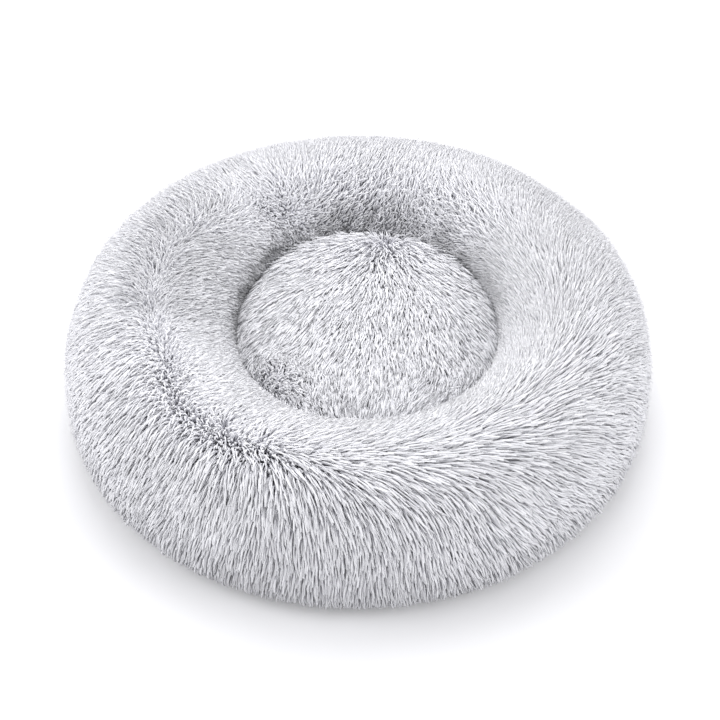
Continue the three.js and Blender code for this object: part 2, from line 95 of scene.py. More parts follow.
# Rolls round the section between which the ring's cover is sewn
SEAM_ROLLS = (-38, 186)
# Along y, where the pile past the cushion's edge leans up on the ring instead of dropping, and how
# steeply it does either
CUSHION_BACK = 0.1
BACK_SLOPE = 0.5
DROP_SLOPE = 0.8

# Soft dents in the crest of the ring: angle round the bed, how far they spread, share of the deepest
DENTS = ((174, 9, 1.0), (240, 7, 0.9), (256, 5, 0.5), (36, 10, 0.6))

# How the ring's pile is combed, by angle round the bed (rows) and roll round the section (columns).
# 0 lies outwards and down the outside, 90 along the crest with a growing turn, 180 into the opening.
COMB_ROLLS = (-38, 10, 45, 70, 90, 110, 135, 160, 187)
COMB_ANGLES = {
    0: (15, 35, 42, 52, 70, 88, 105, 120, 140),
    30: (0, 0, 0, 8, 35, 68, 98, 120, 150),
    55: (0, 3, 10, 15, 25, 45, 65, 90, 150),
    75: (0, 0, 0, -8, -15, -20, -25, -30, -35),
    95: (0, 0, -5, -20, -30, -45, -50, -55, -60),
    112: (0, 0, 0, -5, -15, -30, -45, -80, -130),
    122: (0, 0, 0, 5, 10, 25, 100, 180, 180),
    140: (0, 0, 0, 0, 5, -60, -145, -150, -160),
    160: (-10, -20, -15, -5, 0, -150, -160, -160, -165),
    184: (-12, -32, -28, -14, 0, -160, -150, -150, -160),
    209: (-12, -28, -20, -5, 18, -175, -160, -160, -170),
    227: (-10, -25, -15, 2, 150, 180, -170, -170, -175),
    240: (-6, -15, -10, 5, 150, 160, 180, 180, 180),
    255: (0, -4, 2, 30, 105, 130, 165, 175, 180),
    270: (0, 0, 8, 58, 98, 128, 150, 168, 175),
    285: (3, 10, 22, 62, 90, 115, 135, 150, 165),
    300: (10, 30, 35, 60, 88, 108, 118, 130, 150),
    315: (15, 42, 45, 65, 86, 105, 115, 128, 148),
    330: (18, 44, 50, 66, 80, 96, 112, 125, 145),
}
# Points that the pile spreads from: turn, roll, radius in millimetres
WHORLS = ((237, 88, 13), (248, 86, 12), (184, 100, 16), (152, 107, 14), (118, 138, 20))
# How much of the lie in its middle a whorl takes, and the share of its radius where pile stands up
WHORL_SHARE = 0.8
WHORL_SOFTNESS = 0.4
# Where the pile stands up: turn, roll, radius in millimetres, share of its lean that is left
STANDING = ((95, 150, 75, 0.4), (125, 165, 45, 0.4), (60, 160, 45, 0.6))
# Where the cushion's pile fans out from, and where it turns round, in plan
CUSHION_SOURCE = (0.031, 0.137)
CUSHION_SWIRL = (-0.087, -0.069)
CUSHION_SWIRL_RADIUS = 0.032
# How close to those places the pile begins to stand up
SOURCE_SOFTNESS = 0.008
SWIRL_SOFTNESS = 0.006
# At the swirl: how far the pile lies down, and how much of it goes outwards
SWIRL_LAID = 0.3
SWIRL_OUTWARDS = 0.6
# Along y, where the cushion's pile turns inwards at the front, how much of it does, and how steeply
CUSHION_FRONT = (-0.03, -0.1)
FRONT_SHARE = 0.8
FRONT_INWARDS = 12
# Shares of the way out between which the cushion's pile gets ragged, and by how many radians
CUSHION_EDGE = (0.88, 0.98)
EDGE_RAGGED = 0.5
# Heights between which the painted shade near the floor fades out, above which the pile keeps its full
# colour
FLOOR_SHADE_HEIGHTS = (0.003, 0.013)

# A point's place along the axes, and outwards from the bed's middle
X, Y, Z, OUT = range(4)


class Part(NamedTuple):
    """A part of the pile that differs: where its share grows from 0 to 1, and what it adds."""

    places: tuple
    # Tone that a part adds; at the low front and at the right it is painted shade
    tone: float = 0.0
    uneven: float = 0.0
    lower: float = 0.0
    ragged: float = 0.0


# Long heavy locks, down the front and the left
COARSE = Part(places=((Y, 0.05, -0.11), (OUT, 0.19, 0.23)), uneven=0.04, lower=0.1)
# Short open pile on the inner wall at the back
DIM = Part(places=((Y, 0.075, 0.125), (OUT, 0.2, 0.18)), tone=0.35, uneven=0.2, lower=0.25, ragged=0.5)
# Dense pile on the inner side of the ring at the front, its tone painted paler to light the shade between
# its locks
SOFT = Part(places=((Y, -0.04, -0.09), (OUT, 0.235, 0.205)), tone=0.12, uneven=-0.04, lower=-0.12)
# Uneven pile on the crest and the inner wall at the left
BROKEN = Part(
    places=((X, -0.11, -0.15), (Y, -0.09, -0.03), (Y, 0.17, 0.12), (OUT, 0.255, 0.225)),
    tone=-0.24, uneven=0.12, lower=0.18, ragged=0.22,
)
# Painted shade: locks low on the front wall are darker
SHADED_LOW_FRONT = Part(places=((Z, 0.1, 0.03), (Y, 0.0, -0.15)), tone=-0.6)
# Painted shade: locks on the upper right of the ring are darker
SHADED_RIGHT = Part(places=((X, 0.13, 0.19), (Z, 0.1, 0.13)), tone=-0.15)
PARTS = (COARSE, DIM, SOFT, BROKEN, SHADED_LOW_FRONT, SHADED_RIGHT)
# Where the bed's outline is seen against the light: behind and at the sides, this far out or more
RIM = Part(places=((Y, -0.15, -0.05),))
RIM_FROM = 0.225
# Widths of the crease inside and outside the cushion's edge, as shares of the way out to it; the pile there
# is lower, and painted shade darkens it
CREASE_SHARES = (0.03, 0.08)
# How uneven it is, how much more of it there is at the left, and how much is left at the front
CREASE_UNEVEN = 0.6
CREASE_LEFT = 0.4
CREASE_FRONT = 0.35
# Along y, where it grows to all of its depth
CREASE_BACK = (-0.02, 0.03)


class BedSizes(bpy.types.PropertyGroup):
    """Sizes of the bed, in the frame's metres."""

    bed_radius: FloatProperty(
        name="Bed radius", description="Over the tips of the pile", default=RING_HIGH[0], unit="LENGTH")
    bed_height: FloatProperty(
        name="Bed height", description="Top of the pile at the sides", default=RING_HIGH[2], unit="LENGTH")
    crest_dip: FloatProperty(
        name="Crest dip", description="Crest's front and back below its sides", default=0.004, unit="LENGTH")
    outer_half: FloatProperty(
        name="Outer half", description="Crest line to the outside", default=0.079, unit="LENGTH")
    outer_waist: FloatProperty(
        name="Outer waist", description="Height where the outside is widest", default=0.05, unit="LENGTH")
    inner_waist: FloatProperty(
        name="Inner waist", description="Height where the inside is narrowest", default=0.08, unit="LENGTH")
    dent_depth: FloatProperty(
        name="Dent depth", description="Deepest dent in the crest", default=0.007, unit="LENGTH")
    opening_width: FloatProperty(
        name="Opening width", description="Across, at the inner waist", default=0.267, unit="LENGTH")
    opening_depth: FloatProperty(
        name="Opening depth", description="Front to back, at the inner waist", default=0.302, unit="LENGTH")
    core_floor: FloatProperty(
        name="Core floor", description="Underside of the stuffed ring", default=0.0021, unit="LENGTH")
    pile_depth: FloatProperty(
        name="Pile depth", description="Cloth to the tips", default=0.016, unit="LENGTH")
    pile_at_seam: FloatProperty(
        name="Pile at the seam", description="Where the cover is sewn", default=0.0025, unit="LENGTH")
    wall_pile: FloatProperty(
        name="Wall pile", description="Tips past the opening's edge, inside", default=0.002, unit="LENGTH")
    seam_height: FloatProperty(
        name="Seam height", description="Seam of the two covers", default=0.065, unit="LENGTH")
    crown_rise: FloatProperty(
        name="Crown rise", description="Cushion's shoulder to its middle", default=0.014, unit="LENGTH")
    cushion_pile: FloatProperty(
        name="Cushion pile", description="Cushion's cloth to the tips", default=0.015, unit="LENGTH")
    cushion_lean: FloatProperty(
        name="Cushion lean", description="Pile's rise at the back and drop at the edge", default=0.006,
        unit="LENGTH")
    cloth: FloatProperty(
        name="Cloth", description="Thickness of the plush, base and border", default=0.0012, unit="LENGTH")
    tape: FloatProperty(
        name="Tape", description="Thickness of the zip's tapes and tabs", default=0.0008, unit="LENGTH")
    gap: FloatProperty(
        name="Gap", description="Between pieces that touch", default=0.0003, unit="LENGTH")


class PileLook(bpy.types.PropertyGroup):
    """Sizes and colours of the pile's locks."""

    long_spacing: FloatProperty(
        name="Long spacing", description="Between roots of the heavy locks", default=0.0038, unit="LENGTH")
    long_thickness: FloatProperty(
        name="Long thickness", description="Radius of a heavy lock", default=0.00108, unit="LENGTH")
    long_reach: FloatProperty(
        name="Long reach", description="A heavy lock lies down this far", default=0.031, unit="LENGTH")
    upper_spacing: FloatProperty(
        name="Upper spacing", description="Between roots of the long locks", default=0.0034, unit="LENGTH")
    upper_thickness: FloatProperty(
        name="Upper thickness", description="Radius of a long lock", default=0.0009, unit="LENGTH")
    upper_reach: FloatProperty(
        name="Upper reach", description="A long lock lies down this far", default=0.025, unit="LENGTH")
    under_spacing: FloatProperty(
        name="Under spacing", description="Between roots of the short locks", default=0.0035, unit="LENGTH")
    under_thickness: FloatProperty(
        name="Under thickness", description="Radius of a short lock", default=0.0013, unit="LENGTH")
    under_reach: FloatProperty(
        name="Under reach", description="A short lock lies down this far", default=0.017, unit="LENGTH")
    fine_spacing: FloatProperty(
        name="Fine spacing", description="Between roots of the single hairs", default=0.0037, unit="LENGTH")
    fine_thickness: FloatProperty(
        name="Fine thickness", description="Radius of a single hair", default=0.0005, unit="LENGTH")
    rim_thickness: FloatProperty(
        name="Rim thickness", description="Radius of hairs that stand out", default=0.0003, unit="LENGTH")
    clump_spacing: FloatProperty(
        name="Clump spacing", description="Between tufts with shared tips", default=0.007, unit="LENGTH")
    clumping: FloatProperty(
        name="Clumping", description="Share of the way that tips are drawn together", default=0.4)
    flyaways: FloatProperty(
        name="Flyaways", description="Share of the long locks that are thin and stand out", default=0.07)
    seed: IntProperty(name="Seed", description="For all that is random in the pile", default=7)
    # The darker roots are painted shade deep between the locks
    root_colour: FloatVectorProperty(
        name="Roots", description="Colour at the roots", subtype="COLOR", size=3,
        default=(0.76, 0.76, 0.815))
    middle_colour: FloatVectorProperty(
        name="Middle", description="Colour half way", subtype="COLOR", size=3,
        default=(0.87, 0.87, 0.905))
    tip_colour: FloatVectorProperty(
        name="Tips", description="Colour at the tips", subtype="COLOR", size=3,
        default=(0.89, 0.89, 0.925))


class ClothLook(bpy.types.PropertyGroup):
    """Colours of the cloths and the zip, and the grip dots."""

    backing: FloatVectorProperty(
        name="Backing", description="Knitted back of the plush", subtype="COLOR", size=3,
        default=(0.6, 0.6, 0.64))
    lining: FloatVectorProperty(
        name="Lining", description="Inner cloths", subtype="COLOR", size=3, default=(0.76, 0.76, 0.75))
    fibre: FloatVectorProperty(
        name="Stuffing", description="Fibre", subtype="COLOR", size=3, default=(0.86, 0.86, 0.85))
    base: FloatVectorProperty(
        name="Base", description="Base cloth", subtype="COLOR", size=3, default=(0.42, 0.42, 0.45))
    thread: FloatVectorProperty(
        name="Thread", description="Seams and tapes", subtype="COLOR", size=3, default=(0.5, 0.5, 0.54))
    coil: FloatVectorProperty(
        name="Coil", description="Zip's nylon", subtype="COLOR", size=3, default=(0.6, 0.6, 0.63))
    enamel: FloatVectorProperty(
        name="Enamel", description="Slider, pull and stops", subtype="COLOR", size=3,
        default=(0.45, 0.45, 0.48))
    dot_pitch: FloatProperty(
        name="Dot pitch", description="Between grip dots", default=0.013, unit="LENGTH")
    dot_radius: FloatProperty(
        name="Dot radius", description="Of a grip dot", default=0.0016, unit="LENGTH")
    dot_height: FloatProperty(
        name="Dot height", description="Of a grip dot", default=0.0006, unit="LENGTH")


class StageLook(bpy.types.PropertyGroup):
    """Camera, lamps and floor."""

    elevation: FloatProperty(
        name="Elevation", description="Camera above the floor, in degrees", default=43.6)
    distance: FloatProperty(
        name="Distance", description="Camera to its target", default=1.7, unit="LENGTH")
    target_height: FloatProperty(
        name="Target height", description="What the camera looks at", default=0.053, unit="LENGTH")
    aside: FloatProperty(
        name="Aside", description="Camera to the right of the bed's middle", default=0.0018, unit="LENGTH")
    lens: FloatProperty(name="Lens", description="Focal length in millimetres", default=81.75)
    sky: FloatProperty(name="Sky", description="Strength of the even light", default=0.79)
    key: FloatProperty(name="Key", description="Watts of the lamp above", default=14.8)
    side: FloatProperty(name="Sides", description="Watts of each lamp at the sides", default=9.4)
    fill: FloatProperty(name="Fill", description="Watts of the lamp at the left front", default=1.5)
    floor: FloatVectorProperty(
        name="Floor", description="Floor's own colour", subtype="COLOR", size=3, default=(0.8, 0.8, 0.82))
    floor_glow: FloatProperty(
        name="Floor glow", description="Added for the camera, for a white floor", default=0.1)


def look(name):
    """The settings of one group."""
    return getattr(bpy.context.scene, name)


# Shares, angles and noise

def ramp(value, start, end):
    """Share of the way from start to end, held between 0 and 1."""
    return np.clip((value - start) / (end - start), 0, 1)


def near(distance, width):
    """1 at no distance, and softly less over a width."""
    return np.exp(-((distance / width) ** 2))


def unit(vectors, least=1e-12):
    """Vectors of length 1, but shorter where they aren't much longer than the least."""
    return vectors / (np.linalg.norm(vectors, axis=-1, keepdims=True) + least)


def turn_from(turn, middle):
    """Angle from a middle in degrees, the shorter way round, in radians."""
    return np.arctan2(np.sin(turn - middle * DEGREE), np.cos(turn - middle * DEGREE))


def smooth_noise(points, cell, seed):
    """Values from -1 to 1 that change smoothly over about one cell."""
    table = np.random.default_rng(seed).uniform(-1, 1, 4096)
    place = points / cell
    low = np.floor(place).astype(np.int64)
    part = place - low
    part = part * part * (3 - 2 * part)
    total = np.zeros(len(points))
    for corner in itertools.product((0, 1), repeat=3):
        at = low + corner
        key = (at[:, 0] * 73856093 ^ at[:, 1] * 19349663 ^ at[:, 2] * 83492791) % len(table)
        total += table[key] * np.prod(np.where(corner, part, 1 - part), axis=1)
    return total


# Form of the ring and the cushion

def rounded(value, exponent):
    """A sine or cosine bent for a squarer section than a circle, without its sign."""
    return np.abs(value) ** (2 / exponent)


def crest_height(turn):
    """Height of the crest, which is lower at the front, at the back and in the dents."""
    sizes = look("bed_sizes")
    height = sizes.bed_height - sizes.crest_dip * np.sin(turn) ** 2
    for middle, spread, share in DENTS:
        height = height - sizes.dent_depth * share * near(turn_from(turn, middle), spread * DEGREE)
    return height


def crest_line(turn):
    """Points of the crest line in plan, and the way from them to the opening's edge."""
    sizes = look("bed_sizes")
    crest = sizes.bed_radius - sizes.outer_half
    x, y = crest * np.cos(turn), crest * np.sin(turn)
    inwards_x = MIDDLE_X + sizes.opening_width / 2 * np.cos(turn) - x
    inwards_y = MIDDLE_Y + sizes.opening_depth / 2 * np.sin(turn) - y
    return x, y, inwards_x, inwards_y


def section_place(turn, aside, height):
    """Points at a sideways distance from the crest line, outwards if it is positive."""
    x, y, inwards_x, inwards_y = crest_line(turn)
    distance = np.hypot(inwards_x, inwards_y)
    inside = aside < 0
    along_x = np.where(inside, -inwards_x / distance, np.cos(turn))
    along_y = np.where(inside, -inwards_y / distance, np.sin(turn))
    return np.stack([x + aside * along_x, y + aside * along_y, height], axis=-1)


def ring_form(turn, roll, depth, foot, inset=0.0, wall_pile=0.0):
    """The ring's section: depth below the tips of the pile, inset further in, roll in degrees."""
    sizes = look("bed_sizes")
    turn, roll = np.broadcast_arrays(np.asarray(turn, float), np.asarray(roll, float))
    across, up = np.cos(roll * DEGREE), np.sin(roll * DEGREE)
    top = crest_height(turn) - depth - inset
    floor = sizes.core_floor + inset
    upper_side = up >= 0
    outer_power = np.where(upper_side, OUTER_SHOULDER, foot)
    outer_reach = np.where(upper_side, top - sizes.outer_waist, floor - sizes.outer_waist)
    outer_aside = (sizes.outer_half - depth - inset) * rounded(across, outer_power)
    outer_height = sizes.outer_waist + outer_reach * rounded(up, outer_power)
    inner_power = np.where(upper_side, INNER_SHOULDER, INNER_FOOT)
    inner_reach = np.where(upper_side, top - sizes.inner_waist, floor - sizes.inner_waist)
    thinning = np.where(upper_side, 1 - np.abs(across) ** 3, 0)
    if depth > 0:
        pile = sizes.pile_at_seam + (depth - sizes.pile_at_seam) * thinning
    else:
        pile = -wall_pile * (1 - thinning)
    inner_half = np.hypot(*crest_line(turn)[2:])
    inner_aside = -(inner_half - pile - inset) * rounded(across, inner_power)
    inner_height = sizes.inner_waist + inner_reach * rounded(up, inner_power)
    outside = across >= 0
    aside = np.where(outside, outer_aside, inner_aside)
    height = np.where(outside, outer_height, inner_height)
    return section_place(turn, aside, height)


def cushion_share(points):
    """How far out points lie on the cushion: 0 in the middle and 1 at its edge."""
    away_x, away_y = points[..., 0] - MIDDLE_X, points[..., 1] - MIDDLE_Y
    return np.hypot(away_x / CUSHION_HALF_X, away_y / CUSHION_HALF_Y)


def cushion_height(share):
    """Height of the cushion's crowned cover at a share of the way out to its edge."""
    sizes = look("bed_sizes")
    shoulder = CUSHION_HIGH[2] - sizes.crown_rise - sizes.cushion_pile
    waist = (sizes.seam_height + shoulder) / 2
    inside = np.clip(share, 0, 1)
    body = (shoulder - waist) * (1 - inside ** 4) ** 0.25
    return waist + body + sizes.crown_rise * (1 - inside ** 2)


def cushion_tips(points):
    """Tips of the cushion's pile. It fills the opening to its edge and leans on the ring at the back."""
    sizes = look("bed_sizes")
    share = cushion_share(points)
    inside = np.clip(share, 0, 1)
    back = np.clip((points[..., 1] - MIDDLE_Y) / CUSHION_HALF_X, 0, 1) ** 2
    height = CUSHION_HIGH[2] - sizes.crown_rise * inside ** 2
    height = height + sizes.cushion_lean * (back - inside ** 16)
    slope = BACK_SLOPE * back - DROP_SLOPE * (points[..., 1] < CUSHION_BACK)
    height = height + slope * CUSHION_HALF_X * np.clip(share - 1, 0, None)
    return np.stack([points[..., 0], points[..., 1], height], axis=-1)


def cushion_roots(points):
    """Places on the cushion's cover under or over the points."""
    return np.stack([points[..., 0], points[..., 1], cushion_height(cushion_share(points))], axis=-1)


# Nodes

def fill_socket(tree, socket, value):
    """Links a socket to another one, or gives it a value."""
    if isinstance(value, bpy.types.NodeSocket):
        tree.links.new(value, socket)
    else:
        socket.default_value = value


def node(tree, kind, inputs=None, **settings):
    """Adds a node, sets its settings, and fills its inputs."""
    made = tree.nodes.new(kind)
    for key, value in settings.items():
        setattr(made, key, value)
    for key, value in (inputs or {}).items():
        fill_socket(tree, made.inputs[key], value)
    return made


def colour(values):
    """A colour with full cover, as sockets want it."""
    return (*values, 1.0)


def mixed(tree, factor, first, second, blend="MIX"):
    """Colour output of a mix of two colours."""
    made = node(tree, "ShaderNodeMix", {0: factor, 6: first, 7: second}, data_type="RGBA", blend_type=blend)
    return made.outputs[2]


def sum_of(tree, kind, first, second=0.0, third=0.0):
    """Output of a math node of that kind."""
    return node(tree, "ShaderNodeMath", {0: first, 1: second, 2: third}, operation=kind).outputs[0]


def mapped(tree, value, low, high, to_low=0.0, to_high=1.0, kind="LINEAR"):
    """A value's range mapped to another one."""
    inputs = {"Value": value, "From Min": low, "From Max": high, "To Min": to_low, "To Max": to_high}
    return node(tree, "ShaderNodeMapRange", inputs, interpolation_type=kind).outputs[0]


def own_place(tree):
    """A shaded point's place in its piece's own frame."""
    return node(tree, "ShaderNodeTexCoord").outputs["Object"]


def parts_of(tree, vector):
    return node(tree, "ShaderNodeSeparateXYZ", {0: vector}).outputs


def noise(tree, place, scale, detail, distortion=0.0):
    """Output of a noise texture at a place."""
    inputs = {"Vector": place, "Scale": scale, "Detail": detail, "Distortion": distortion}
    return node(tree, "ShaderNodeTexNoise", inputs).outputs[0]


def new_group(name, inputs, outputs):
    """An empty node group with named inputs and outputs: (name, kind, default)."""
    tree = bpy.data.node_groups.new(name, "ShaderNodeTree")
    for label, kind, default in inputs:
        socket = tree.interface.new_socket(name=label, in_out="INPUT", socket_type=kind)
        socket.default_value = default
    for label, kind in outputs:
        tree.interface.new_socket(name=label, in_out="OUTPUT", socket_type=kind)
    return tree, tree.nodes.new("NodeGroupInput"), tree.nodes.new("NodeGroupOutput")


def pile_group():
    """Colour of a lock from its tone across and its length along the map of the pile; its darker roots are
    painted shade deep between the locks.
    """
    tree, given, result = new_group(
        "Pile colour",
        [
            ("Roots", "NodeSocketColor", colour((0.3, 0.3, 0.3))),
            ("Middle", "NodeSocketColor", colour((0.6, 0.6, 0.6))),
            ("Tips", "NodeSocketColor", colour((0.9, 0.9, 0.9))),
            ("Tone", "NodeSocketFloat", 0.5),
            ("Along", "NodeSocketFloat", 0.5),
            ("Darkest", "NodeSocketFloat", 0.4),
        ],
        [("Color", "NodeSocketColor")],
    )
    along = given.outputs["Along"]
    lower = mapped(tree, along, low=0.1, high=0.6, kind="SMOOTHSTEP")
    upper = mapped(tree, along, low=0.45, high=1.0, kind="SMOOTHSTEP")
    shaft = mixed(tree, lower, given.outputs["Roots"], given.outputs["Middle"])
    whole = mixed(tree, upper, shaft, given.outputs["Tips"])
    shade = mapped(tree, given.outputs["Tone"], 0.0, 1.0, given.outputs["Darkest"], 1.04)
    tree.links.new(mixed(tree, 1.0, whole, shade, "MULTIPLY"), result.inputs["Color"])
    return tree


def weave_group():
    """Threads over and under each other in a plain weave, as a height and a shade that is painted darker
    where the threads lie low.
    """
    if "Plain weave" in bpy.data.node_groups:
        return bpy.data.node_groups["Plain weave"]
    tree, given, result = new_group(
        "Plain weave",
        [("Vector", "NodeSocketVector", (0, 0, 0)), ("Threads", "NodeSocketFloat", 1000.0)],
        [("Height", "NodeSocketFloat"), ("Shade", "NodeSocketFloat")],
    )
    inputs = {0: given.outputs["Vector"], "Scale": given.outputs["Threads"]}
    threads = node(tree, "ShaderNodeVectorMath", inputs, operation="SCALE").outputs[0]
    parts = parts_of(tree, threads)
    warp, weft = (sum_of(tree, "SINE", sum_of(tree, "MULTIPLY", parts[k], math.pi)) for k in (0, 1))
    over = sum_of(tree, "MULTIPLY_ADD", sum_of(tree, "MULTIPLY", warp, weft), 0.5, 0.5)
    height = sum_of(tree, "MULTIPLY_ADD", noise(tree, threads, scale=0.35, detail=3.0), 0.5, over)
    tree.links.new(height, result.inputs["Height"])
    tree.links.new(sum_of(tree, "MULTIPLY", height, 0.67), result.inputs["Shade"])
    return tree


def new_material(name, roughness, sheen=0.0, specular=0.5, metallic=0.0):
    """A material and its tree and Principled shader, with the constants on their own sockets."""
    material = bpy.data.materials.new(name)
    material.use_nodes = True
    tree = material.node_tree
    shader = tree.nodes["Principled BSDF"]
    shader.inputs["Roughness"].default_value = roughness
    shader.inputs["Metallic"].default_value = metallic
    shader.inputs["Sheen Weight"].default_value = sheen
    shader.inputs["Sheen Roughness"].default_value = 0.5
    shader.inputs["Specular IOR Level"].default_value = specular
    return material, tree, shader


def give_colour(tree, shader, factor, first, second):
    """Gives a shader a mix of two colours."""
    tree.links.new(mixed(tree, factor, colour(first), colour(second)), shader.inputs["Base Color"])


def give_bump(tree, shader, height, distance):
    """Shades a surface as if it were raised by a height."""
    bump = node(tree, "ShaderNodeBump", {"Height": height, "Distance": distance, "Strength": 1.0})
    tree.links.new(bump.outputs[0], shader.inputs["Normal"])


def toned(values, share):
    """A colour made lighter or darker."""
    return tuple(min(1.0, share * part) for part in values)


def pile_material():
    """Long pile, with shade painted on it darker near the floor. It is made once, for all the pieces of
    pile.
    """
    if "Long pile" in bpy.data.materials:
        return bpy.data.materials["Long pile"]
    pile = look("bed_pile")
    material, tree, shader = new_material("Long pile", roughness=0.7, sheen=0.15, specular=0.15)
    tone, along, _ = parts_of(tree, node(tree, "ShaderNodeUVMap", uv_map="OFBake").outputs[0])
    inputs = {
        "Roots": colour(pile.root_colour),
        "Middle": colour(pile.middle_colour),
        "Tips": colour(pile.tip_colour),
        "Tone": tone,
        "Along": along,
    }
    group = node(tree, "ShaderNodeGroup", node_tree=pile_group())
    for label, value in inputs.items():
        fill_socket(tree, group.inputs[label], value)
    # Painted shade: the lowest pile is darkened, standing in for the contact shadow on the floor
    low = mapped(tree, parts_of(tree, own_place(tree))[2], *FLOOR_SHADE_HEIGHTS, to_low=0.5)
    tree.links.new(mixed(tree, 1.0, group.outputs["Color"], low, "MULTIPLY"), shader.inputs["Base Color"])
    return material


def backing_material():
    """Knitted back of the plush, seen only between the locks."""
    material, tree, shader = new_material("Plush backing", roughness=0.95, specular=0.1)
    place = own_place(tree)
    knit = node(tree, "ShaderNodeTexVoronoi", {"Vector": place, "Scale": 700.0}).outputs[0]
    base = look("bed_cloth").backing
    give_colour(tree, shader, noise(tree, place, scale=60.0, detail=4.0), base, toned(base, 0.6))
    give_bump(tree, shader, knit, distance=0.0004)
    return material


def cloth_material(name, base, threads, fold=0.0):
    """Woven cloth: threads to the metre, and soft creases if fold is more than zero."""
    material, tree, shader = new_material(name, roughness=0.85, sheen=0.15, specular=0.3)
    place = own_place(tree)
    weave = node(tree, "ShaderNodeGroup", node_tree=weave_group())
    fill_socket(tree, weave.inputs["Vector"], place)
    fill_socket(tree, weave.inputs["Threads"], threads)
    # Painted shade: the weave's low threads are darker
    give_colour(tree, shader, weave.outputs["Shade"], toned(base, 0.72), toned(base, 1.1))
    height = weave.outputs["Height"]
    if fold > 0:
        height = sum_of(tree, "MULTIPLY_ADD", noise(tree, place, scale=45.0, detail=2.0), fold, height)
    give_bump(tree, shader, height, distance=0.25 / threads)
    return material


def fibre_material():
    """Loose white stuffing."""
    material, tree, shader = new_material("Fibre stuffing", roughness=1.0, sheen=0.3, specular=0.1)
    strands = noise(tree, own_place(tree), scale=220.0, detail=8.0, distortion=2.5)
    base = look("bed_cloth").fibre
    give_colour(tree, shader, strands, toned(base, 0.75), base)
    give_bump(tree, shader, strands, distance=0.002)
    return material


def ribbed_material(name, along, across, roughness, depth):
    """Thread in ribs counted along and across the piece's own map, such as on tape or a sewn seam."""
    material, tree, shader = new_material(name, roughness=roughness, sheen=0.1, specular=0.35)
    parts = parts_of(tree, node(tree, "ShaderNodeUVMap", uv_map="UVMap").outputs[0])
    first = sum_of(tree, "MULTIPLY", parts[0], along * FULL_TURN)
    phase = sum_of(tree, "MULTIPLY_ADD", parts[1], across * FULL_TURN, first)
    height = sum_of(tree, "MULTIPLY_ADD", sum_of(tree, "SINE", phase), 0.5, 0.5)
    base = look("bed_cloth").thread
    # Painted shade: the ribs' grooves are darker
    give_colour(tree, shader, height, toned(base, 0.62), toned(base, 1.12))
    give_bump(tree, shader, height, depth)
    return material


def rubber_material():
    """Pale rubber with some dust on it."""
    material, tree, shader = new_material("Grip rubber", roughness=0.45)
    dust = noise(tree, own_place(tree), scale=90.0, detail=3.0)
    give_colour(tree, shader, dust, (0.74, 0.74, 0.77), (0.6, 0.6, 0.62))
    return material


def nylon_material():
    """Streaky nylon thread."""
    material, tree, shader = new_material("Zip nylon", roughness=0.35)
    streaks = noise(tree, own_place(tree), scale=400.0, detail=2.0)
    base = look("bed_cloth").coil
    give_colour(tree, shader, streaks, toned(base, 0.8), base)
    return material


def enamel_material():
    """Grey enamel that is rubbed thin in places."""
    material, tree, shader = new_material("Zip enamel", roughness=0.32, metallic=0.6)
    rubbed = noise(tree, own_place(tree), scale=500.0, detail=5.0)
    worn = mapped(tree, rubbed, low=0.62, high=0.85)
    give_colour(tree, shader, worn, look("bed_cloth").enamel, (0.7, 0.7, 0.7))
    roughness = mapped(tree, rubbed, low=0.0, high=1.0, to_low=0.25, to_high=0.45)
    tree.links.new(roughness, shader.inputs["Roughness"])
    give_bump(tree, shader, rubbed, distance=0.00004)
    return material


# Meshes

def link_object(name, data):
    """Adds an object to the scene."""
    made = bpy.data.objects.new(name, data)
    bpy.context.scene.collection.objects.link(made)
    return made


def link_piece(name, data, material, body="bed"):
    """Links an object that rides on a body and takes its finish from a material slot."""
    piece = link_object(name, data)
    data.materials.append(material)
    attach(piece, body)
    return piece


def mesh_of(name, bm, smooth=True):
    """Turns a bmesh into a mesh and frees it."""
    mesh = bpy.data.meshes.new(name)
    for face in bm.faces:
        face.smooth = smooth
    bm.to_mesh(mesh)
    bm.free()
    return mesh


def add_piece(name, bm, material, smooth=True, body="bed"):
    """Makes a piece of the bed from a bmesh."""
    return link_piece(name, mesh_of(name, bm, smooth), material, body)


def points_of(bm):
    return np.array([vert.co[:] for vert in bm.verts])


def move_points(bm, points):
    for vert, point in zip(bm.verts, points):
        vert.co = point


def unit_grid(columns, rows):
    """A bmesh grid over 0 to 1 in X and Y, with a map of the same."""
    bm = bmesh.new()
    bmesh.ops.create_grid(bm, x_segments=columns, y_segments=rows, size=0.5, calc_uvs=False)
    bmesh.ops.translate(bm, verts=bm.verts, vec=(0.5, 0.5, 0))
    layer = bm.loops.layers.uv.new("UVMap")
    for face in bm.faces:
        for loop in face.loops:
            loop[layer].uv = loop.vert.co.xy
    return bm


def mapped_skin(columns, rows, form, closed=False):
    """A grid placed by form(across, up), which run from 0 to 1, with its map kept."""
    bm = unit_grid(columns, rows)
    flat = points_of(bm)
    move_points(bm, form(flat[:, 0], flat[:, 1]))
    if closed:
        bmesh.ops.remove_doubles(bm, verts=bm.verts, dist=0.00001)
    bmesh.ops.recalc_face_normals(bm, faces=bm.faces)
    return bm


def largest_face(bm):
    return max(bm.faces, key=lambda part: len(part.verts))


def verts_in(parts):
    return [part for part in parts if isinstance(part, bmesh.types.BMVert)]


def thicken(piece, thickness, offset=-1.0):
    """Gives a skin the thickness of its cloth."""
    made = piece.modifiers.new("Cloth", "SOLIDIFY")
    made.thickness = thickness
    made.offset = offset


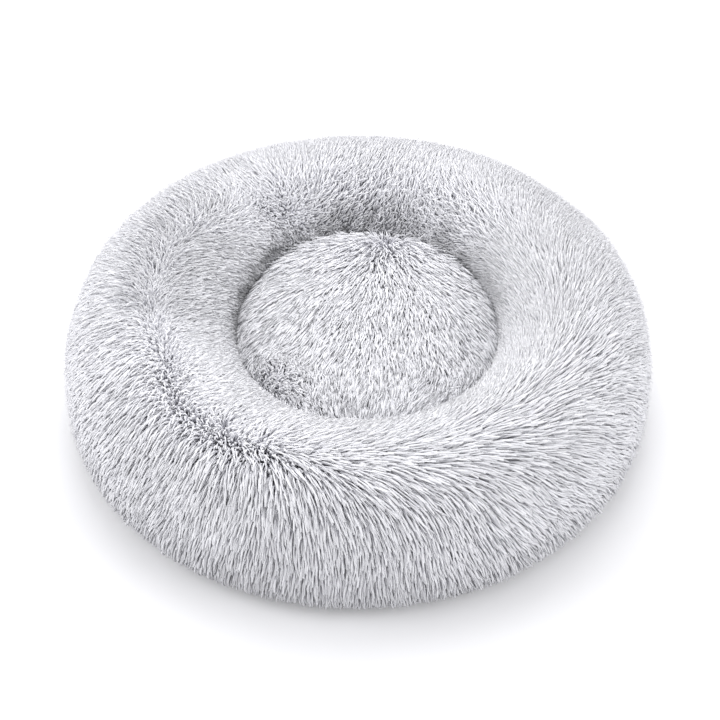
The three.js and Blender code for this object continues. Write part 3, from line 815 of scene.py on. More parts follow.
def lock_template(stretches):
    """One lock as a thin three-sided cone. Z counts the rings along it."""
    bm = bmesh.new()
    bmesh.ops.create_circle(bm, cap_ends=False, segments=3, radius=1.0)
    edges = bm.edges[:]
    for _ in range(stretches):
        made = bmesh.ops.extrude_edge_only(bm, edges=edges)["geom"]
        verts = verts_in(made)
        bmesh.ops.translate(bm, verts=verts, vec=(0, 0, 1))
        edges = [part for part in made if isinstance(part, bmesh.types.BMEdge)]
    bmesh.ops.pointmerge(bm, verts=verts, merge_co=(0, 0, stretches))
    bmesh.ops.recalc_face_normals(bm, faces=bm.faces)
    bm.verts.index_update()
    points = points_of(bm)
    faces = [[vert.index for vert in face.verts] for face in bm.faces]
    bm.free()
    return points, faces


# How wide one lock is on the pile's map, where its tone is its place across
LOCK_STRIP = 1 / 128
# How high the lowest tips stay above the floor
LOWEST_TIP = 0.0006


def grow_locks(spines, ups, radii, tones, spin):
    """Copies the lock along every spine: points, corners of the faces, their lengths and the map."""
    rings = spines.shape[1]
    points, faces = lock_template(rings - 1)
    ring = np.rint(points[:, 2]).astype(int)
    count, size = len(spines), len(points)
    ahead = unit(np.gradient(spines, axis=1))
    side = unit(np.cross(ahead, ups[:, None, :]))
    over = np.cross(side, ahead)
    around = np.arctan2(points[:, 1], points[:, 0])[None, :] + spin[:, None]
    width = np.hypot(points[:, 0], points[:, 1])[None, :] * radii[:, ring]
    verts = (
        spines[:, ring]
        + side[:, ring] * (width * np.cos(around))[..., None]
        + over[:, ring] * (width * np.sin(around))[..., None]
    )
    verts[..., 2] = np.maximum(verts[..., 2], LOWEST_TIP)
    corners = np.concatenate([np.array(face) for face in faces])
    lengths = np.array([len(face) for face in faces])
    across = (np.arctan2(points[:, 1], points[:, 0]) / FULL_TURN + 0.5)[corners] * LOCK_STRIP
    tone = np.clip(tones / 2 + 0.5, 0, 1)[:, None] * (1 - LOCK_STRIP) + across[None, :]
    along = np.broadcast_to(ring[corners][None, :] / (rings - 1), tone.shape)
    return (
        verts.reshape(-1, 3),
        (corners[None, :] + (np.arange(count) * size)[:, None]).ravel(),
        np.tile(lengths, count),
        np.stack([tone, along], axis=-1).reshape(-1, 2),
    )


def pile_piece(name, coats):
    """One mesh of all the locks in the coats."""
    grown, total = [], 0
    for coat in coats:
        verts, corners, lengths, maps = grow_locks(*coat)
        grown.append((verts, corners + total, lengths, maps))
        total += len(verts)
    verts, corners, lengths, maps = (np.concatenate(parts) for parts in zip(*grown))
    mesh = bpy.data.meshes.new(name)
    mesh.vertices.add(len(verts))
    mesh.vertices.foreach_set("co", verts.astype(np.float32).ravel())
    mesh.loops.add(len(corners))
    mesh.loops.foreach_set("vertex_index", corners.astype(np.int32))
    mesh.polygons.add(len(lengths))
    starts = np.concatenate([[0], np.cumsum(lengths)[:-1]])
    mesh.polygons.foreach_set("loop_start", starts.astype(np.int32))
    mesh.polygons.foreach_set("use_smooth", np.ones(len(lengths), bool))
    mesh.update(calc_edges=True)
    layer = mesh.uv_layers.new(name="OFBake")
    layer.data.foreach_set("uv", maps.astype(np.float32).ravel())
    mesh.validate()
    link_piece(name, mesh, pile_material())


# Coats of the pile: share of a lock's length, share of the way from the cloth to the tips, width
LONG_COAT = ((0.0, 0.0, 0.7), (0.25, 0.68, 1.0), (0.6, 1.0, 1.0), (0.93, 1.04, 0.8), (1.0, 1.02, 0.0))
UPPER_COAT = ((0.0, 0.0, 0.75), (0.3, 0.75, 1.0), (0.82, 1.02, 0.8), (1.0, 1.0, 0.0))
UNDER_COAT = ((0.0, -0.08, 0.8), (0.5, 0.85, 1.0), (1.0, 1.0, 0.0))
UPRIGHT_COAT = ((0.0, 0.0, 1.0), (0.6, 0.7, 0.9), (1.0, 1.0, 0.0))
FINE_COAT = ((0.0, 0.3, 0.8), (0.5, 0.96, 1.0), (1.0, 1.02, 0.0))
RIM_COAT = ((0.0, 0.6, 1.0), (0.5, 1.08, 0.8), (1.0, 1.24, 0.0))
# How far single locks stand out, the share of it at their last rings, and how thin they are
FLYAWAY_LIFT = (0.001, 0.005)
FLYAWAY_RINGS = (0.2, 0.55, 1.0)
FLYAWAY_WIDTH = 0.45
# How close to the tips' surface a tuft comes, and how late along them locks are drawn to it
TUFT_FULLNESS = 0.93
TUFT_POWER = 1.5
# How close to the tips' surface the undercoat and the other coats come, and the others' limits
UNDER_FULLNESS = (0.79, 0.95)
COAT_FULLNESS = 0.9
FULLNESS_LIMITS = (0.72, 1.04)
# How much lower the pile is in the crease, how much painted shade darkens it there, and how much less it
# leans
CREASE_SINK = 0.22
CREASE_SHADE = 1.2
CREASE_UPRIGHT = 0.5
# How single locks differ in width, as shares, and in tone
LOCK_WIDTHS = (0.7, 1.25)
TONE_SPREAD = 0.09
# Rows of roots lie closer than the roots in a row, and each root is moved by a share of its spacing
ROW_SHARE = 0.87
RING_JITTER = 0.4
CUSHION_JITTER = 0.45
# Share of the way out at which the cushion's outermost roots lie, and its locks' reach as a share
CUSHION_LAST = 0.985
CUSHION_REACH = 1.2
# Size in metres of the places where neighbours bend the same way
BEND_CELL = 0.012


class Growth(NamedTuple):
    """How locks differ from the way that the pile is combed."""

    # Turns that neighbours share: radians, size in metres, seed
    waves: tuple
    # Radians by which single locks are turned
    ragged: float
    # Length of a lock that stands up, and the spread of all lengths, as shares of the reach
    standing: float
    lengths: tuple
    # How much locks bend, and the seed of what neighbours share of it
    bend: float
    bend_seed: int


RING_GROWTH = Growth(
    waves=((0.16, 0.026, 11), (0.07, 0.01, 12)), ragged=0.07, standing=0.1, lengths=(0.7, 1.15),
    bend=0.05, bend_seed=14,
)
CUSHION_GROWTH = Growth(
    waves=((0.22, 0.022, 31), (0.14, 0.009, 32)), ragged=0.06, standing=0.2, lengths=(0.75, 1.15),
    bend=0.1, bend_seed=34,
)


def share_of(part, points):
    """1 in a part of the pile and 0 elsewhere, with soft edges."""
    values = np.column_stack([points, np.hypot(points[:, 0], points[:, 1])])
    shares = [ramp(values[:, axis], start, end) for axis, start, end in part.places]
    return np.prod(shares, axis=0)


def added(kind, points):
    """What the parts of the pile add to the tone, or to another of their values, at points."""
    return sum(getattr(part, kind) * share_of(part, points) for part in PARTS if getattr(part, kind))


def crease_share(points):
    """1 in the crease between ring and cushion at the left and the back, less on its other sides. The pile
    sinks there and is painted darker, as shade.
    """
    share = cushion_share(points) - 1
    left = np.clip(-points[:, 0], 0, None)
    crease = near(share, np.where(share < 0, *CREASE_SHARES))
    crease *= 1 + CREASE_UNEVEN * smooth_noise(points, cell=0.007, seed=23)
    crease *= 1 + CREASE_LEFT * np.clip(-points[:, 0] / 0.08, -0.6, 1)
    back = ramp(points[:, 1] + 0.3 * left, *CREASE_BACK)
    return crease * (CREASE_FRONT + (1 - CREASE_FRONT) * back)


def kept_roots(points, share_in_front, share_elsewhere, rng):
    """Which roots a coat keeps, by the part of the bed that they are on."""
    front = share_of(COARSE, points) * (1 - SOFT_FINENESS * share_of(SOFT, points))
    return rng.random(len(points)) < share_elsewhere + (share_in_front - share_elsewhere) * front


def coat_fullness(coat, points, loose, rng):
    """How close to the tips' surface each lock comes. Loose pile stands up and is full."""
    crease = CREASE_SINK * crease_share(points)
    if coat is UNDER_COAT:
        raised = 0.03 + 0.25 * loose * (1 - share_of(BROKEN, points))
        fullness = rng.uniform(*UNDER_FULLNESS, len(points)) + raised - added("lower", points)
        return np.minimum(fullness, 1.0) - crease
    uneven = 0.06 * smooth_noise(points, cell=0.014, seed=13) + 0.05 * rng.normal(size=len(points))
    return np.clip(COAT_FULLNESS + uneven + 0.05 * loose, *FULLNESS_LIMITS) - crease


def lock_radii(points, coat, thickness, rng):
    """Radii of each lock at its rings."""
    size = thickness * rng.uniform(*LOCK_WIDTHS, len(points))
    return size[:, None] * np.array([part[2] for part in coat])[None, :]


def lock_tones(points, middle, rng):
    """Tone of each lock: a random part, a part that its neighbours share, and that of its place, which holds
    painted shade at the low front, at the right and in the crease.
    """
    uneven = TONE_SPREAD + added("uneven", points)
    tones = middle + added("tone", points) + uneven * rng.normal(size=len(points))
    tones += 0.08 * smooth_noise(points, cell=0.018, seed=21)
    tones += 0.3 * share_of(DIM, points) * smooth_noise(points, cell=0.006, seed=22)
    # Painted shade in the crease between ring and cushion
    return tones - CREASE_SHADE * crease_share(points)


def drawn_together(spines, tufts, share):
    """Draws the locks by their shares towards the nearest tuft, more so at their tips."""
    tree = kdtree.KDTree(len(tufts))
    for index, place in enumerate(tufts[:, 0]):
        tree.insert(place, index)
    tree.balance()
    nearest = np.array([tree.find(place)[1] for place in spines[:, 0]])
    pull = share[:, None] * np.linspace(0, 1, spines.shape[1])[None, :] ** TUFT_POWER
    return spines + (tufts[nearest] - spines) * pull[..., None]


def as_flyaways(spines, up, radii, share, rng):
    """Makes a share of the locks thin and lets their tips stand out a little."""
    chosen = rng.random(len(spines)) < share
    lift = rng.uniform(*FLYAWAY_LIFT, len(spines))[:, None] * up
    for ring, part in zip(range(-len(FLYAWAY_RINGS), 0), FLYAWAY_RINGS):
        spines[chosen, ring] += part * lift[chosen]
    radii[chosen] *= FLYAWAY_WIDTH


def lock_course(growth, place, lie, laid, ragged, reach, rng):
    """Angle, length and bend of each lock, from how the pile lies at its root."""
    angle = np.arctan2(lie[:, 1], lie[:, 0])
    for amount, cell, seed in growth.waves:
        angle += amount * smooth_noise(place, cell, seed)
    angle += ragged * rng.normal(size=len(place))
    share = growth.standing + (1 - growth.standing) * laid
    length = reach * share * rng.uniform(*growth.lengths, len(place))
    shared_bend = growth.bend * smooth_noise(place, BEND_CELL, growth.bend_seed)
    bend = growth.bend * rng.normal(size=len(place)) + shared_bend
    return angle, length, bend


def bent_step(share, angle, length, bend):
    """How far a lock has gone at a share of its length, in the two directions of the surface."""
    side = bend * share ** 2
    return (
        length * (share * np.cos(angle) - side * np.sin(angle)),
        length * (share * np.sin(angle) + side * np.cos(angle)),
    )


# Pile of the ring

RING_ROLLS = np.linspace(-62, 189, 503)
GRID_TURNS = 361
GRID_ROWS = 200
SECTORS = 10
# Points by which the way round a row of roots is measured
ROW_POINTS = 181
# Steps in turns and rows to the places around a lock, which tell how far the pile lies down there
LAID_STEPS = ((0, 0), (0.07, 0), (-0.07, 0), (0, 0.045), (0, -0.045))
# Upright locks: their spacing as a share, and how readily they grow where the pile stands up
UPRIGHT_SPACING = 0.7
UPRIGHT_SHARE = 2.0
# A lock that stands up: its width as a share, how much paler it is painted to light the shade at partings
# and whorls, and less so in the broken part
STANDING_WIDTH = 0.5
STANDING_TONE = 0.9
BROKEN_TONE = 0.6
# In the soft part: how many fewer heavy locks there are, and how much less locks are drawn together
SOFT_FINENESS = 0.7
SOFT_LOOSENESS = 0.5


def ring_grids():
    """Points of the cloth and of the tips on one grid of turns and equal steps round the section."""
    sizes = look("bed_sizes")
    roots, tips, rolls, lengths = [], [], [], []
    for turn in np.linspace(0, FULL_TURN, GRID_TURNS):
        core = ring_form(turn, RING_ROLLS, sizes.pile_depth, CORE_FOOT)
        pile = ring_form(turn, RING_ROLLS, 0.0, PILE_FOOT, wall_pile=sizes.wall_pile)
        steps = np.linalg.norm(np.diff(0.4 * core + 0.6 * pile, axis=0), axis=1)
        run = np.concatenate([[0], np.cumsum(steps)])
        even = np.linspace(0, run[-1], GRID_ROWS)
        roots.append(np.stack([np.interp(even, run, core[:, k]) for k in range(3)], axis=1))
        tips.append(np.stack([np.interp(even, run, pile[:, k]) for k in range(3)], axis=1))
        rolls.append(np.interp(even, run, RING_ROLLS))
        lengths.append(run[-1])
    return np.array(roots), np.array(tips), np.array(rolls), np.array(lengths)


def on_grid(grid, turn, row):
    """Values between a grid's points, at a turn in radians and a row from 0 to 1."""
    at_turn = (turn / FULL_TURN % 1) * (grid.shape[0] - 1)
    at_row = np.clip(row, 0, 1) * (grid.shape[1] - 1)
    i = np.minimum(at_turn.astype(int), grid.shape[0] - 2)
    j = np.minimum(at_row.astype(int), grid.shape[1] - 2)
    a, b = at_turn - i, at_row - j
    if grid.ndim == 3:
        a, b = a[..., None], b[..., None]
    return (
        grid[i, j] * (1 - a) * (1 - b) + grid[i + 1, j] * a * (1 - b)
        + grid[i, j + 1] * (1 - a) * b + grid[i + 1, j + 1] * a * b
    )


def combing(turn, roll):
    """How the pile lies at a turn and roll: outwards and along, shorter where it stands up."""
    turns = np.array(sorted(COMB_ANGLES))
    table = np.array([COMB_ANGLES[key] for key in turns], float) * DEGREE
    turns = np.concatenate([turns, [360]])
    table = np.concatenate([table, table[:1]])
    degrees = turn / DEGREE % 360
    i = np.clip(np.searchsorted(turns, degrees, side="right") - 1, 0, len(turns) - 2)
    j = np.clip(np.searchsorted(COMB_ROLLS, roll, side="right") - 1, 0, len(COMB_ROLLS) - 2)
    rolls = np.array(COMB_ROLLS, float)
    a = (degrees - turns[i]) / (turns[i + 1] - turns[i])
    b = ramp(roll, rolls[j], rolls[j + 1])
    total = np.zeros((len(turn), 2))
    for di, dj in itertools.product((0, 1), repeat=2):
        angle = table[i + di, j + dj]
        weight = (a if di else 1 - a) * (b if dj else 1 - b)
        total += weight[:, None] * np.stack([np.cos(angle), np.sin(angle)], axis=1)
    return total


def beside(turn, row, grids, middle_turn, middle_roll):
    """Distance of points from a place on the ring: outwards, and along it, in metres."""
    _, tips, rolls, lengths = grids
    k = int(round(middle_turn / 360 * (GRID_TURNS - 1)))
    middle_row = np.interp(middle_roll, rolls[k], np.linspace(0, 1, GRID_ROWS))
    place = on_grid(tips, np.array([middle_turn * DEGREE]), np.array([middle_row]))[0]
    along = turn_from(turn, middle_turn) * math.hypot(place[0], place[1])
    return np.stack([(middle_row - row) * lengths[k], along], axis=1)


def ring_lie(turn, row, grids):
    """How the pile lies with its whorls and partings: outwards and along, short where it stands up."""
    lie = combing(turn, on_grid(grids[2], turn, row))
    for middle_turn, middle_roll, radius in WHORLS:
        away = beside(turn, row, grids, middle_turn, middle_roll)
        weight = WHORL_SHARE * near(np.linalg.norm(away, axis=1, keepdims=True), radius * MM)
        lie = lie * (1 - weight) + unit(away, WHORL_SOFTNESS * radius * MM) * weight
    return lie


def laid_down(turn, row, grids):
    """Share to which the pile lies down: less around a parting or a whorl."""
    total = 0
    for more_turn, more_row in LAID_STEPS:
        total = total + ring_lie(turn + more_turn, row + more_row, grids)
    return np.clip(np.linalg.norm(total, axis=1) / len(LAID_STEPS), 0, 1)


def ring_spines(turn, row, grids, coat, reach, laid, fullness, rng):
    """Spines of the locks that are rooted at those turns and rows."""
    roots, tips, _, lengths = grids
    place = on_grid(tips, turn, row)
    lie = ring_lie(turn, row, grids)
    lean = laid * (1 - CREASE_UPRIGHT * crease_share(place))
    for middle_turn, middle_roll, radius, share in STANDING:
        distance = np.linalg.norm(beside(turn, row, grids, middle_turn, middle_roll), axis=1)
        lean *= 1 - (1 - share) * near(distance, radius * MM)
    loose = 1 - np.clip(np.linalg.norm(lie, axis=1), 0, 1)
    ragged = RING_GROWTH.ragged + added("ragged", place) + loose
    course = lock_course(RING_GROWTH, place, lie, lean, ragged, reach, rng)
    radius = np.hypot(place[:, 0], place[:, 1])
    section = np.interp(turn % FULL_TURN, np.linspace(0, FULL_TURN, GRID_TURNS), lengths)
    spines = []
    for share, rise, _ in coat:
        out, along = bent_step(share, *course)
        at_turn = turn + along / radius
        at_row = row - out / section
        low = on_grid(roots, at_turn, at_row)
        high = on_grid(tips, at_turn, at_row)
        spines.append(low + (high - low) * (rise * fullness)[:, None])
    return np.stack(spines, axis=1), unit(place - on_grid(roots, turn, row))


def scatter_ring(grids, spacing, rng):
    """Roots in staggered rows over the ring, each moved a little at random."""
    roots, _, rolls, lengths = grids
    first, last = np.interp(SEAM_ROLLS, rolls[0], np.linspace(0, 1, GRID_ROWS))
    rows = int((last - first) * lengths.mean() / (spacing * ROW_SHARE))
    turns, places = [], []
    for k in range(rows):
        row = first + (last - first) * (k + 0.5) / rows
        line = on_grid(roots, np.linspace(0, FULL_TURN, ROW_POINTS), np.full(ROW_POINTS, row))
        around = np.linalg.norm(np.diff(line, axis=0), axis=1).sum()
        count = max(3, int(around / spacing))
        step = np.arange(count) + 0.5 * (k % 2) + rng.uniform(-RING_JITTER, RING_JITTER, count)
        turns.append(step / count * FULL_TURN)
        places.append(row + rng.uniform(-RING_JITTER, RING_JITTER, count) * (last - first) / rows)
    return np.concatenate(turns) % FULL_TURN, np.clip(np.concatenate(places), first, last)


class BED_OT_ring_pile(bpy.types.Operator):
    """Grow the long pile of the ring"""

    bl_idname = "bed.ring_pile"
    bl_label = "Ring pile"

    def execute(self, context):
        pile = context.scene.bed_pile
        rng = np.random.default_rng(pile.seed)
        grids = ring_grids()
        tufts = {
            coat: self.tufts(coat, reach, pile.clump_spacing, grids, rng)
            for coat, reach in ((LONG_COAT, pile.long_reach), (UPPER_COAT, pile.upper_reach))
        }
        standing_spacing = UPRIGHT_SPACING * pile.upper_spacing
        sectors = [[] for _ in range(SECTORS)]
        for coat, spacing, thickness, reach, tone, in_front, elsewhere in (
            (LONG_COAT, pile.long_spacing, pile.long_thickness, pile.long_reach, 0.63, 1.0, 0.0),
            (UPPER_COAT, pile.upper_spacing, pile.upper_thickness, pile.upper_reach, 0.65, 0.0, 1.0),
            (UNDER_COAT, pile.under_spacing, pile.under_thickness, pile.under_reach, 0.68, 1.0, 1.0),
            (FINE_COAT, pile.fine_spacing, pile.fine_thickness, pile.under_reach, 0.75, 0.15, 0.9),
            (UPRIGHT_COAT, standing_spacing, pile.upper_thickness, pile.under_reach, 0.6, 1.0, 1.0),
            # Rim hairs are real thin hairs; their palest tone is painted backlight along the outline
            (RIM_COAT, pile.fine_spacing, pile.rim_thickness, pile.under_reach, 1.0, 1.0, 1.0),
        ):
            turn, row, place, laid = self.roots(coat, spacing, in_front, elsewhere, grids, rng)
            fullness = coat_fullness(coat, place, 1 - laid, rng)
            spines, up = ring_spines(turn, row, grids, coat, reach, laid, fullness, rng)
            radii = lock_radii(place, coat, thickness, rng)
            if coat not in (UNDER_COAT, UPRIGHT_COAT):
                radii *= (STANDING_WIDTH + (1 - STANDING_WIDTH) * laid)[:, None]
            if coat in tufts:
                share = pile.clumping * laid * (1 - SOFT_LOOSENESS * share_of(SOFT, place))
                spines = drawn_together(spines, tufts[coat], share)
                as_flyaways(spines, up, radii, pile.flyaways, rng)
            # Painted light: standing locks are paler, lightening the shade around partings and whorls
            painted_parting_light = (STANDING_TONE - BROKEN_TONE * share_of(BROKEN, place)) * (1 - laid)
            tones = lock_tones(place, tone, rng) + painted_parting_light
            spin = rng.uniform(0, FULL_TURN, len(turn))
            sector = np.minimum((turn / FULL_TURN * SECTORS).astype(int), SECTORS - 1)
            for k, coats in enumerate(sectors):
                coats.append(tuple(part[sector == k] for part in (spines, up, radii, tones, spin)))
        for k, coats in enumerate(sectors):
            pile_piece(f"ring_pile_{k + 1}", coats)
        return {"FINISHED"}

    @staticmethod
    def tufts(coat, reach, spacing, grids, rng):
        """Spines of a coat's tufts, to which the tips of its locks are drawn."""
        turn, row = scatter_ring(grids, spacing, rng)
        fullness = np.full(len(turn), TUFT_FULLNESS)
        return ring_spines(turn, row, grids, coat, reach, laid_down(turn, row, grids), fullness, rng)[0]

    @staticmethod
    def roots(coat, spacing, in_front, elsewhere, grids, rng):
        """Turns, rows and places at which a coat's locks are rooted, and how far each lies down."""
        turn, row = scatter_ring(grids, spacing, rng)
        place = on_grid(grids[1], turn, row)
        kept = kept_roots(place, in_front, elsewhere, rng)
        laid = laid_down(turn, row, grids)
        if coat is UPRIGHT_COAT:
            kept &= rng.random(len(turn)) < UPRIGHT_SHARE * (1 - laid)
        if coat is FINE_COAT:
            kept &= rng.random(len(turn)) > share_of(DIM, place)
        if coat is RIM_COAT:
            kept &= rng.random(len(turn)) < share_of(RIM, place)
            kept &= np.hypot(place[:, 0], place[:, 1]) > RIM_FROM
        return turn[kept], row[kept], place[kept], laid[kept]


# Pile of the cushion

def cushion_lie(points):
    """How the cushion's pile lies, in plan: away from a point at the back, then inwards at the front."""
    lie = unit(points[:, :2] - CUSHION_SOURCE, SOURCE_SOFTNESS)
    front = ramp(points[:, 1:2], *CUSHION_FRONT)
    inwards = unit(np.hstack([-FRONT_INWARDS * points[:, :1], np.full((len(points), 1), -1.0)]))
    lie = lie * (1 - FRONT_SHARE * front) + inwards * FRONT_SHARE * front
    away = points[:, :2] - CUSHION_SWIRL
    weight = near(np.linalg.norm(away, axis=1, keepdims=True), CUSHION_SWIRL_RADIUS)
    turned = np.stack([-away[:, 1], away[:, 0]], axis=1) + SWIRL_OUTWARDS * away
    return lie * (1 - weight) + SWIRL_LAID * unit(turned, SWIRL_SOFTNESS) * weight


def cushion_spines(points, coat, reach, fullness, rng):
    """Spines of the locks that are rooted at those points."""
    lie = cushion_lie(points)
    laid = np.clip(np.linalg.norm(lie, axis=1), 0, 1)
    at_edge = ramp(cushion_share(points), *CUSHION_EDGE)
    ragged = CUSHION_GROWTH.ragged + EDGE_RAGGED * at_edge + 1 - laid
    course = lock_course(CUSHION_GROWTH, points, lie, laid, ragged, reach, rng)
    spines = []
    for share, rise, _ in coat:
        step_x, step_y = bent_step(share, *course)
        place = points + np.stack([step_x, step_y, np.zeros(len(points))], axis=1)
        low, high = cushion_roots(place), cushion_tips(place)
        spines.append(low + (high - low) * (rise * fullness)[:, None])
    return np.stack(spines, axis=1)


def scatter_cushion(spacing, rng):
    """Roots in staggered rows over the cushion, each moved a little at random."""
    step_y = spacing * ROW_SHARE
    xs = np.arange(CUSHION_LOW[0], CUSHION_HIGH[0], spacing)
    ys = np.arange(CUSHION_LOW[1], CUSHION_HIGH[1], step_y)
    x, y = np.meshgrid(xs, ys)
    x = x + (np.arange(len(ys)) % 2)[:, None] * spacing / 2
    points = np.stack([x.ravel(), y.ravel(), np.zeros(x.size)], axis=1)
    points[:, 0] += rng.uniform(-CUSHION_JITTER, CUSHION_JITTER, len(points)) * spacing
    points[:, 1] += rng.uniform(-CUSHION_JITTER, CUSHION_JITTER, len(points)) * step_y
    return points[cushion_share(points) < CUSHION_LAST]


class BED_OT_cushion_pile(bpy.types.Operator):
    """Grow the long pile of the cushion"""

    bl_idname = "bed.cushion_pile"
    bl_label = "Cushion pile"

    def execute(self, context):
        pile = context.scene.bed_pile
        rng = np.random.default_rng(pile.seed + 1)
        reach = CUSHION_REACH * pile.upper_reach
        points = scatter_cushion(pile.clump_spacing, rng)
        fullness = np.full(len(points), TUFT_FULLNESS)
        tufts = {LONG_COAT: cushion_spines(points, LONG_COAT, reach, fullness, rng)}
        coats = []
        for coat, spacing, thickness, tone in (
            (LONG_COAT, pile.upper_spacing, 0.92 * pile.upper_thickness, 0.83),
            (UNDER_COAT, pile.under_spacing, pile.under_thickness, 0.72),
            (FINE_COAT, 1.3 * pile.fine_spacing, pile.fine_thickness, 0.84),
        ):
            points = scatter_cushion(spacing, rng)
            loose = 1 - np.clip(np.linalg.norm(cushion_lie(points), axis=1), 0, 1)
            fullness = coat_fullness(coat, points, loose, rng)
            spines = cushion_spines(points, coat, reach, fullness, rng)
            up = np.tile(np.array([0.0, 0.0, 1.0]), (len(points), 1))
            radii = lock_radii(points, coat, thickness, rng)
            if coat in tufts:
                spines = drawn_together(spines, tufts[coat], np.full(len(points), pile.clumping))
                as_flyaways(spines, up, radii, pile.flyaways, rng)
            spin = rng.uniform(0, FULL_TURN, len(points))
            coats.append((spines, up, radii, lock_tones(cushion_tips(points), tone, rng), spin))
        for name, side in (("cushion_pile_left", -1), ("cushion_pile_right", 1)):
            here = [(coat[0][:, 0, 0] - MIDDLE_X) * side > 0 for coat in coats]
            pile_piece(name, [tuple(part[kept] for part in coat) for coat, kept in zip(coats, here)])
        return {"FINISHED"}


# Covers

# How far the ring's cover lies outside the roots of the pile
COVER_EASE = 0.0002
# Rings of faces on the cushion's skin, as shares of the way out
CUSHION_RINGS = (0.93, 0.84, 0.74, 0.62, 0.48, 0.32, 0.16)


class BED_OT_covers(bpy.types.Operator):
    """Make the backing cloths that the pile grows from"""

    bl_idname = "bed.covers"
    bl_label = "Covers"

    def execute(self, context):
        sizes = context.scene.bed_sizes
        backing = backing_material()
        for name, skin, fill, stands_for in (
            ("ring_cover", self.ring_skin(sizes), 0.8, "bolster_fur"),
            ("cushion_cover", self.cushion_skin(sizes), 0.7, "cushion_fur"),
        ):
            cover = add_piece(name, skin, backing)
            thicken(cover, sizes.cloth)
            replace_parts(cover, stands_for)
        return {"FINISHED"}

    @staticmethod
    def ring_skin(sizes):
        """The ring's stuffed cover as a skin from seam to seam."""
        first, last = SEAM_ROLLS

        def form(across, up):
            turn, roll = across * FULL_TURN, first + up * (last - first)
            return ring_form(turn, roll, sizes.pile_depth, CORE_FOOT, inset=-COVER_EASE)

        return mapped_skin(288, 56, form, closed=True)

    @staticmethod
    def cushion_skin(sizes):
        """The cushion's crowned top as a skin out to its seam."""
        bm = bmesh.new()
        bmesh.ops.create_circle(bm, cap_ends=True, segments=144, radius=1.0)
        for share in CUSHION_RINGS:
            face = largest_face(bm)
            bmesh.ops.inset_region(bm, faces=[face], thickness=0.0)
            for vert in face.verts:
                vert.co = vert.co.normalized() * share
        flat = points_of(bm)
        margin = sizes.pile_at_seam + sizes.gap
        x = MIDDLE_X + flat[:, 0] * (CUSHION_HALF_X - margin)
        y = MIDDLE_Y + flat[:, 1] * (CUSHION_HALF_Y - margin)
        height = cushion_height(np.hypot(flat[:, 0], flat[:, 1]))
        move_points(bm, np.stack([x, y, height], axis=1))
        edge = [part for part in bm.edges if part.is_boundary]
        for vert in verts_in(bmesh.ops.extrude_edge_only(bm, edges=edge)["geom"]):
            vert.co.z = sizes.seam_height + sizes.gap
        bmesh.ops.recalc_face_normals(bm, faces=bm.faces)
        return bm


# Underside: base, border, seams and zip

# Turns at which the zip's tapes start and end
ZIP_START = 30 * DEGREE
ZIP_END = 150 * DEGREE
# The sloping strip under the ring's edge: its start, its slope, and the middle of the zip on it
STRIP_START = (0.24741, 0.00246)
STRIP_ALONG = (0.8707, 0.4918)
STRIP_FROM = 0.000342
STRIP_TO = 0.02582
ZIP_MIDDLE = 0.01308
# How deep the border sags between its stitches
BORDER_SAG = 0.0002
BORDER_SAGS = 80
# Rings of faces on the base cloth
BASE_RINGS = 6
# Grip dots: rows lie closer than the dots in a row, and the outermost stay inside the seam
DOT_ROW_SHARE = 0.866
DOT_MARGIN = 0.006
DOT_TIP_SHARE = 0.6
DOT_CLEARANCE = 0.00005
# Middle of the zip to the tapes' edges, and the end tabs' half width and drop below the tapes
CHAIN_HALF = 0.0033
TAB_HALF = 0.0035
TAB_DROP = 0.0011
# Each coil: from the zip's ends in radians, aside of its middle, half its width and height, its thread
TEETH = 350
TOOTH_STEPS = 8
COIL_INSET = 0.0375
COIL_ASIDE = 0.0019
COIL_HALF_WIDTH = 0.00075
COIL_HALF_HEIGHT = 0.00072
THREAD_RADIUS = 0.00034
# Rounding of the metal's edges, and the angle in radians from which an edge is sharp
METAL_ROUNDING = 0.00012
SHARP_ANGLE = 0.6


def strip_place(turn, along, drop):
    """Points on the sloping strip: along it outwards, and below it."""
    radius = STRIP_START[0] + along * STRIP_ALONG[0] + drop * STRIP_ALONG[1]
    height = STRIP_START[1] + along * STRIP_ALONG[1] - drop * STRIP_ALONG[0]
    turn, radius, height = np.broadcast_arrays(turn, radius, height)
    return np.stack([radius * np.cos(turn), radius * np.sin(turn), height], axis=-1)


def strip_skin(columns, rows, turns, along, drop=0.0, sag=0.0):
    """A skin on the strip between two turns and two places along its slope."""

    def form(across, up):
        sags = sag * np.sin(across * BORDER_SAGS * FULL_TURN) * np.sin(up * math.pi)
        turn = turns[0] + across * (turns[1] - turns[0])
        return strip_place(turn, along[0] + up * (along[1] - along[0]), drop + sags)

    return mapped_skin(columns, rows, form)


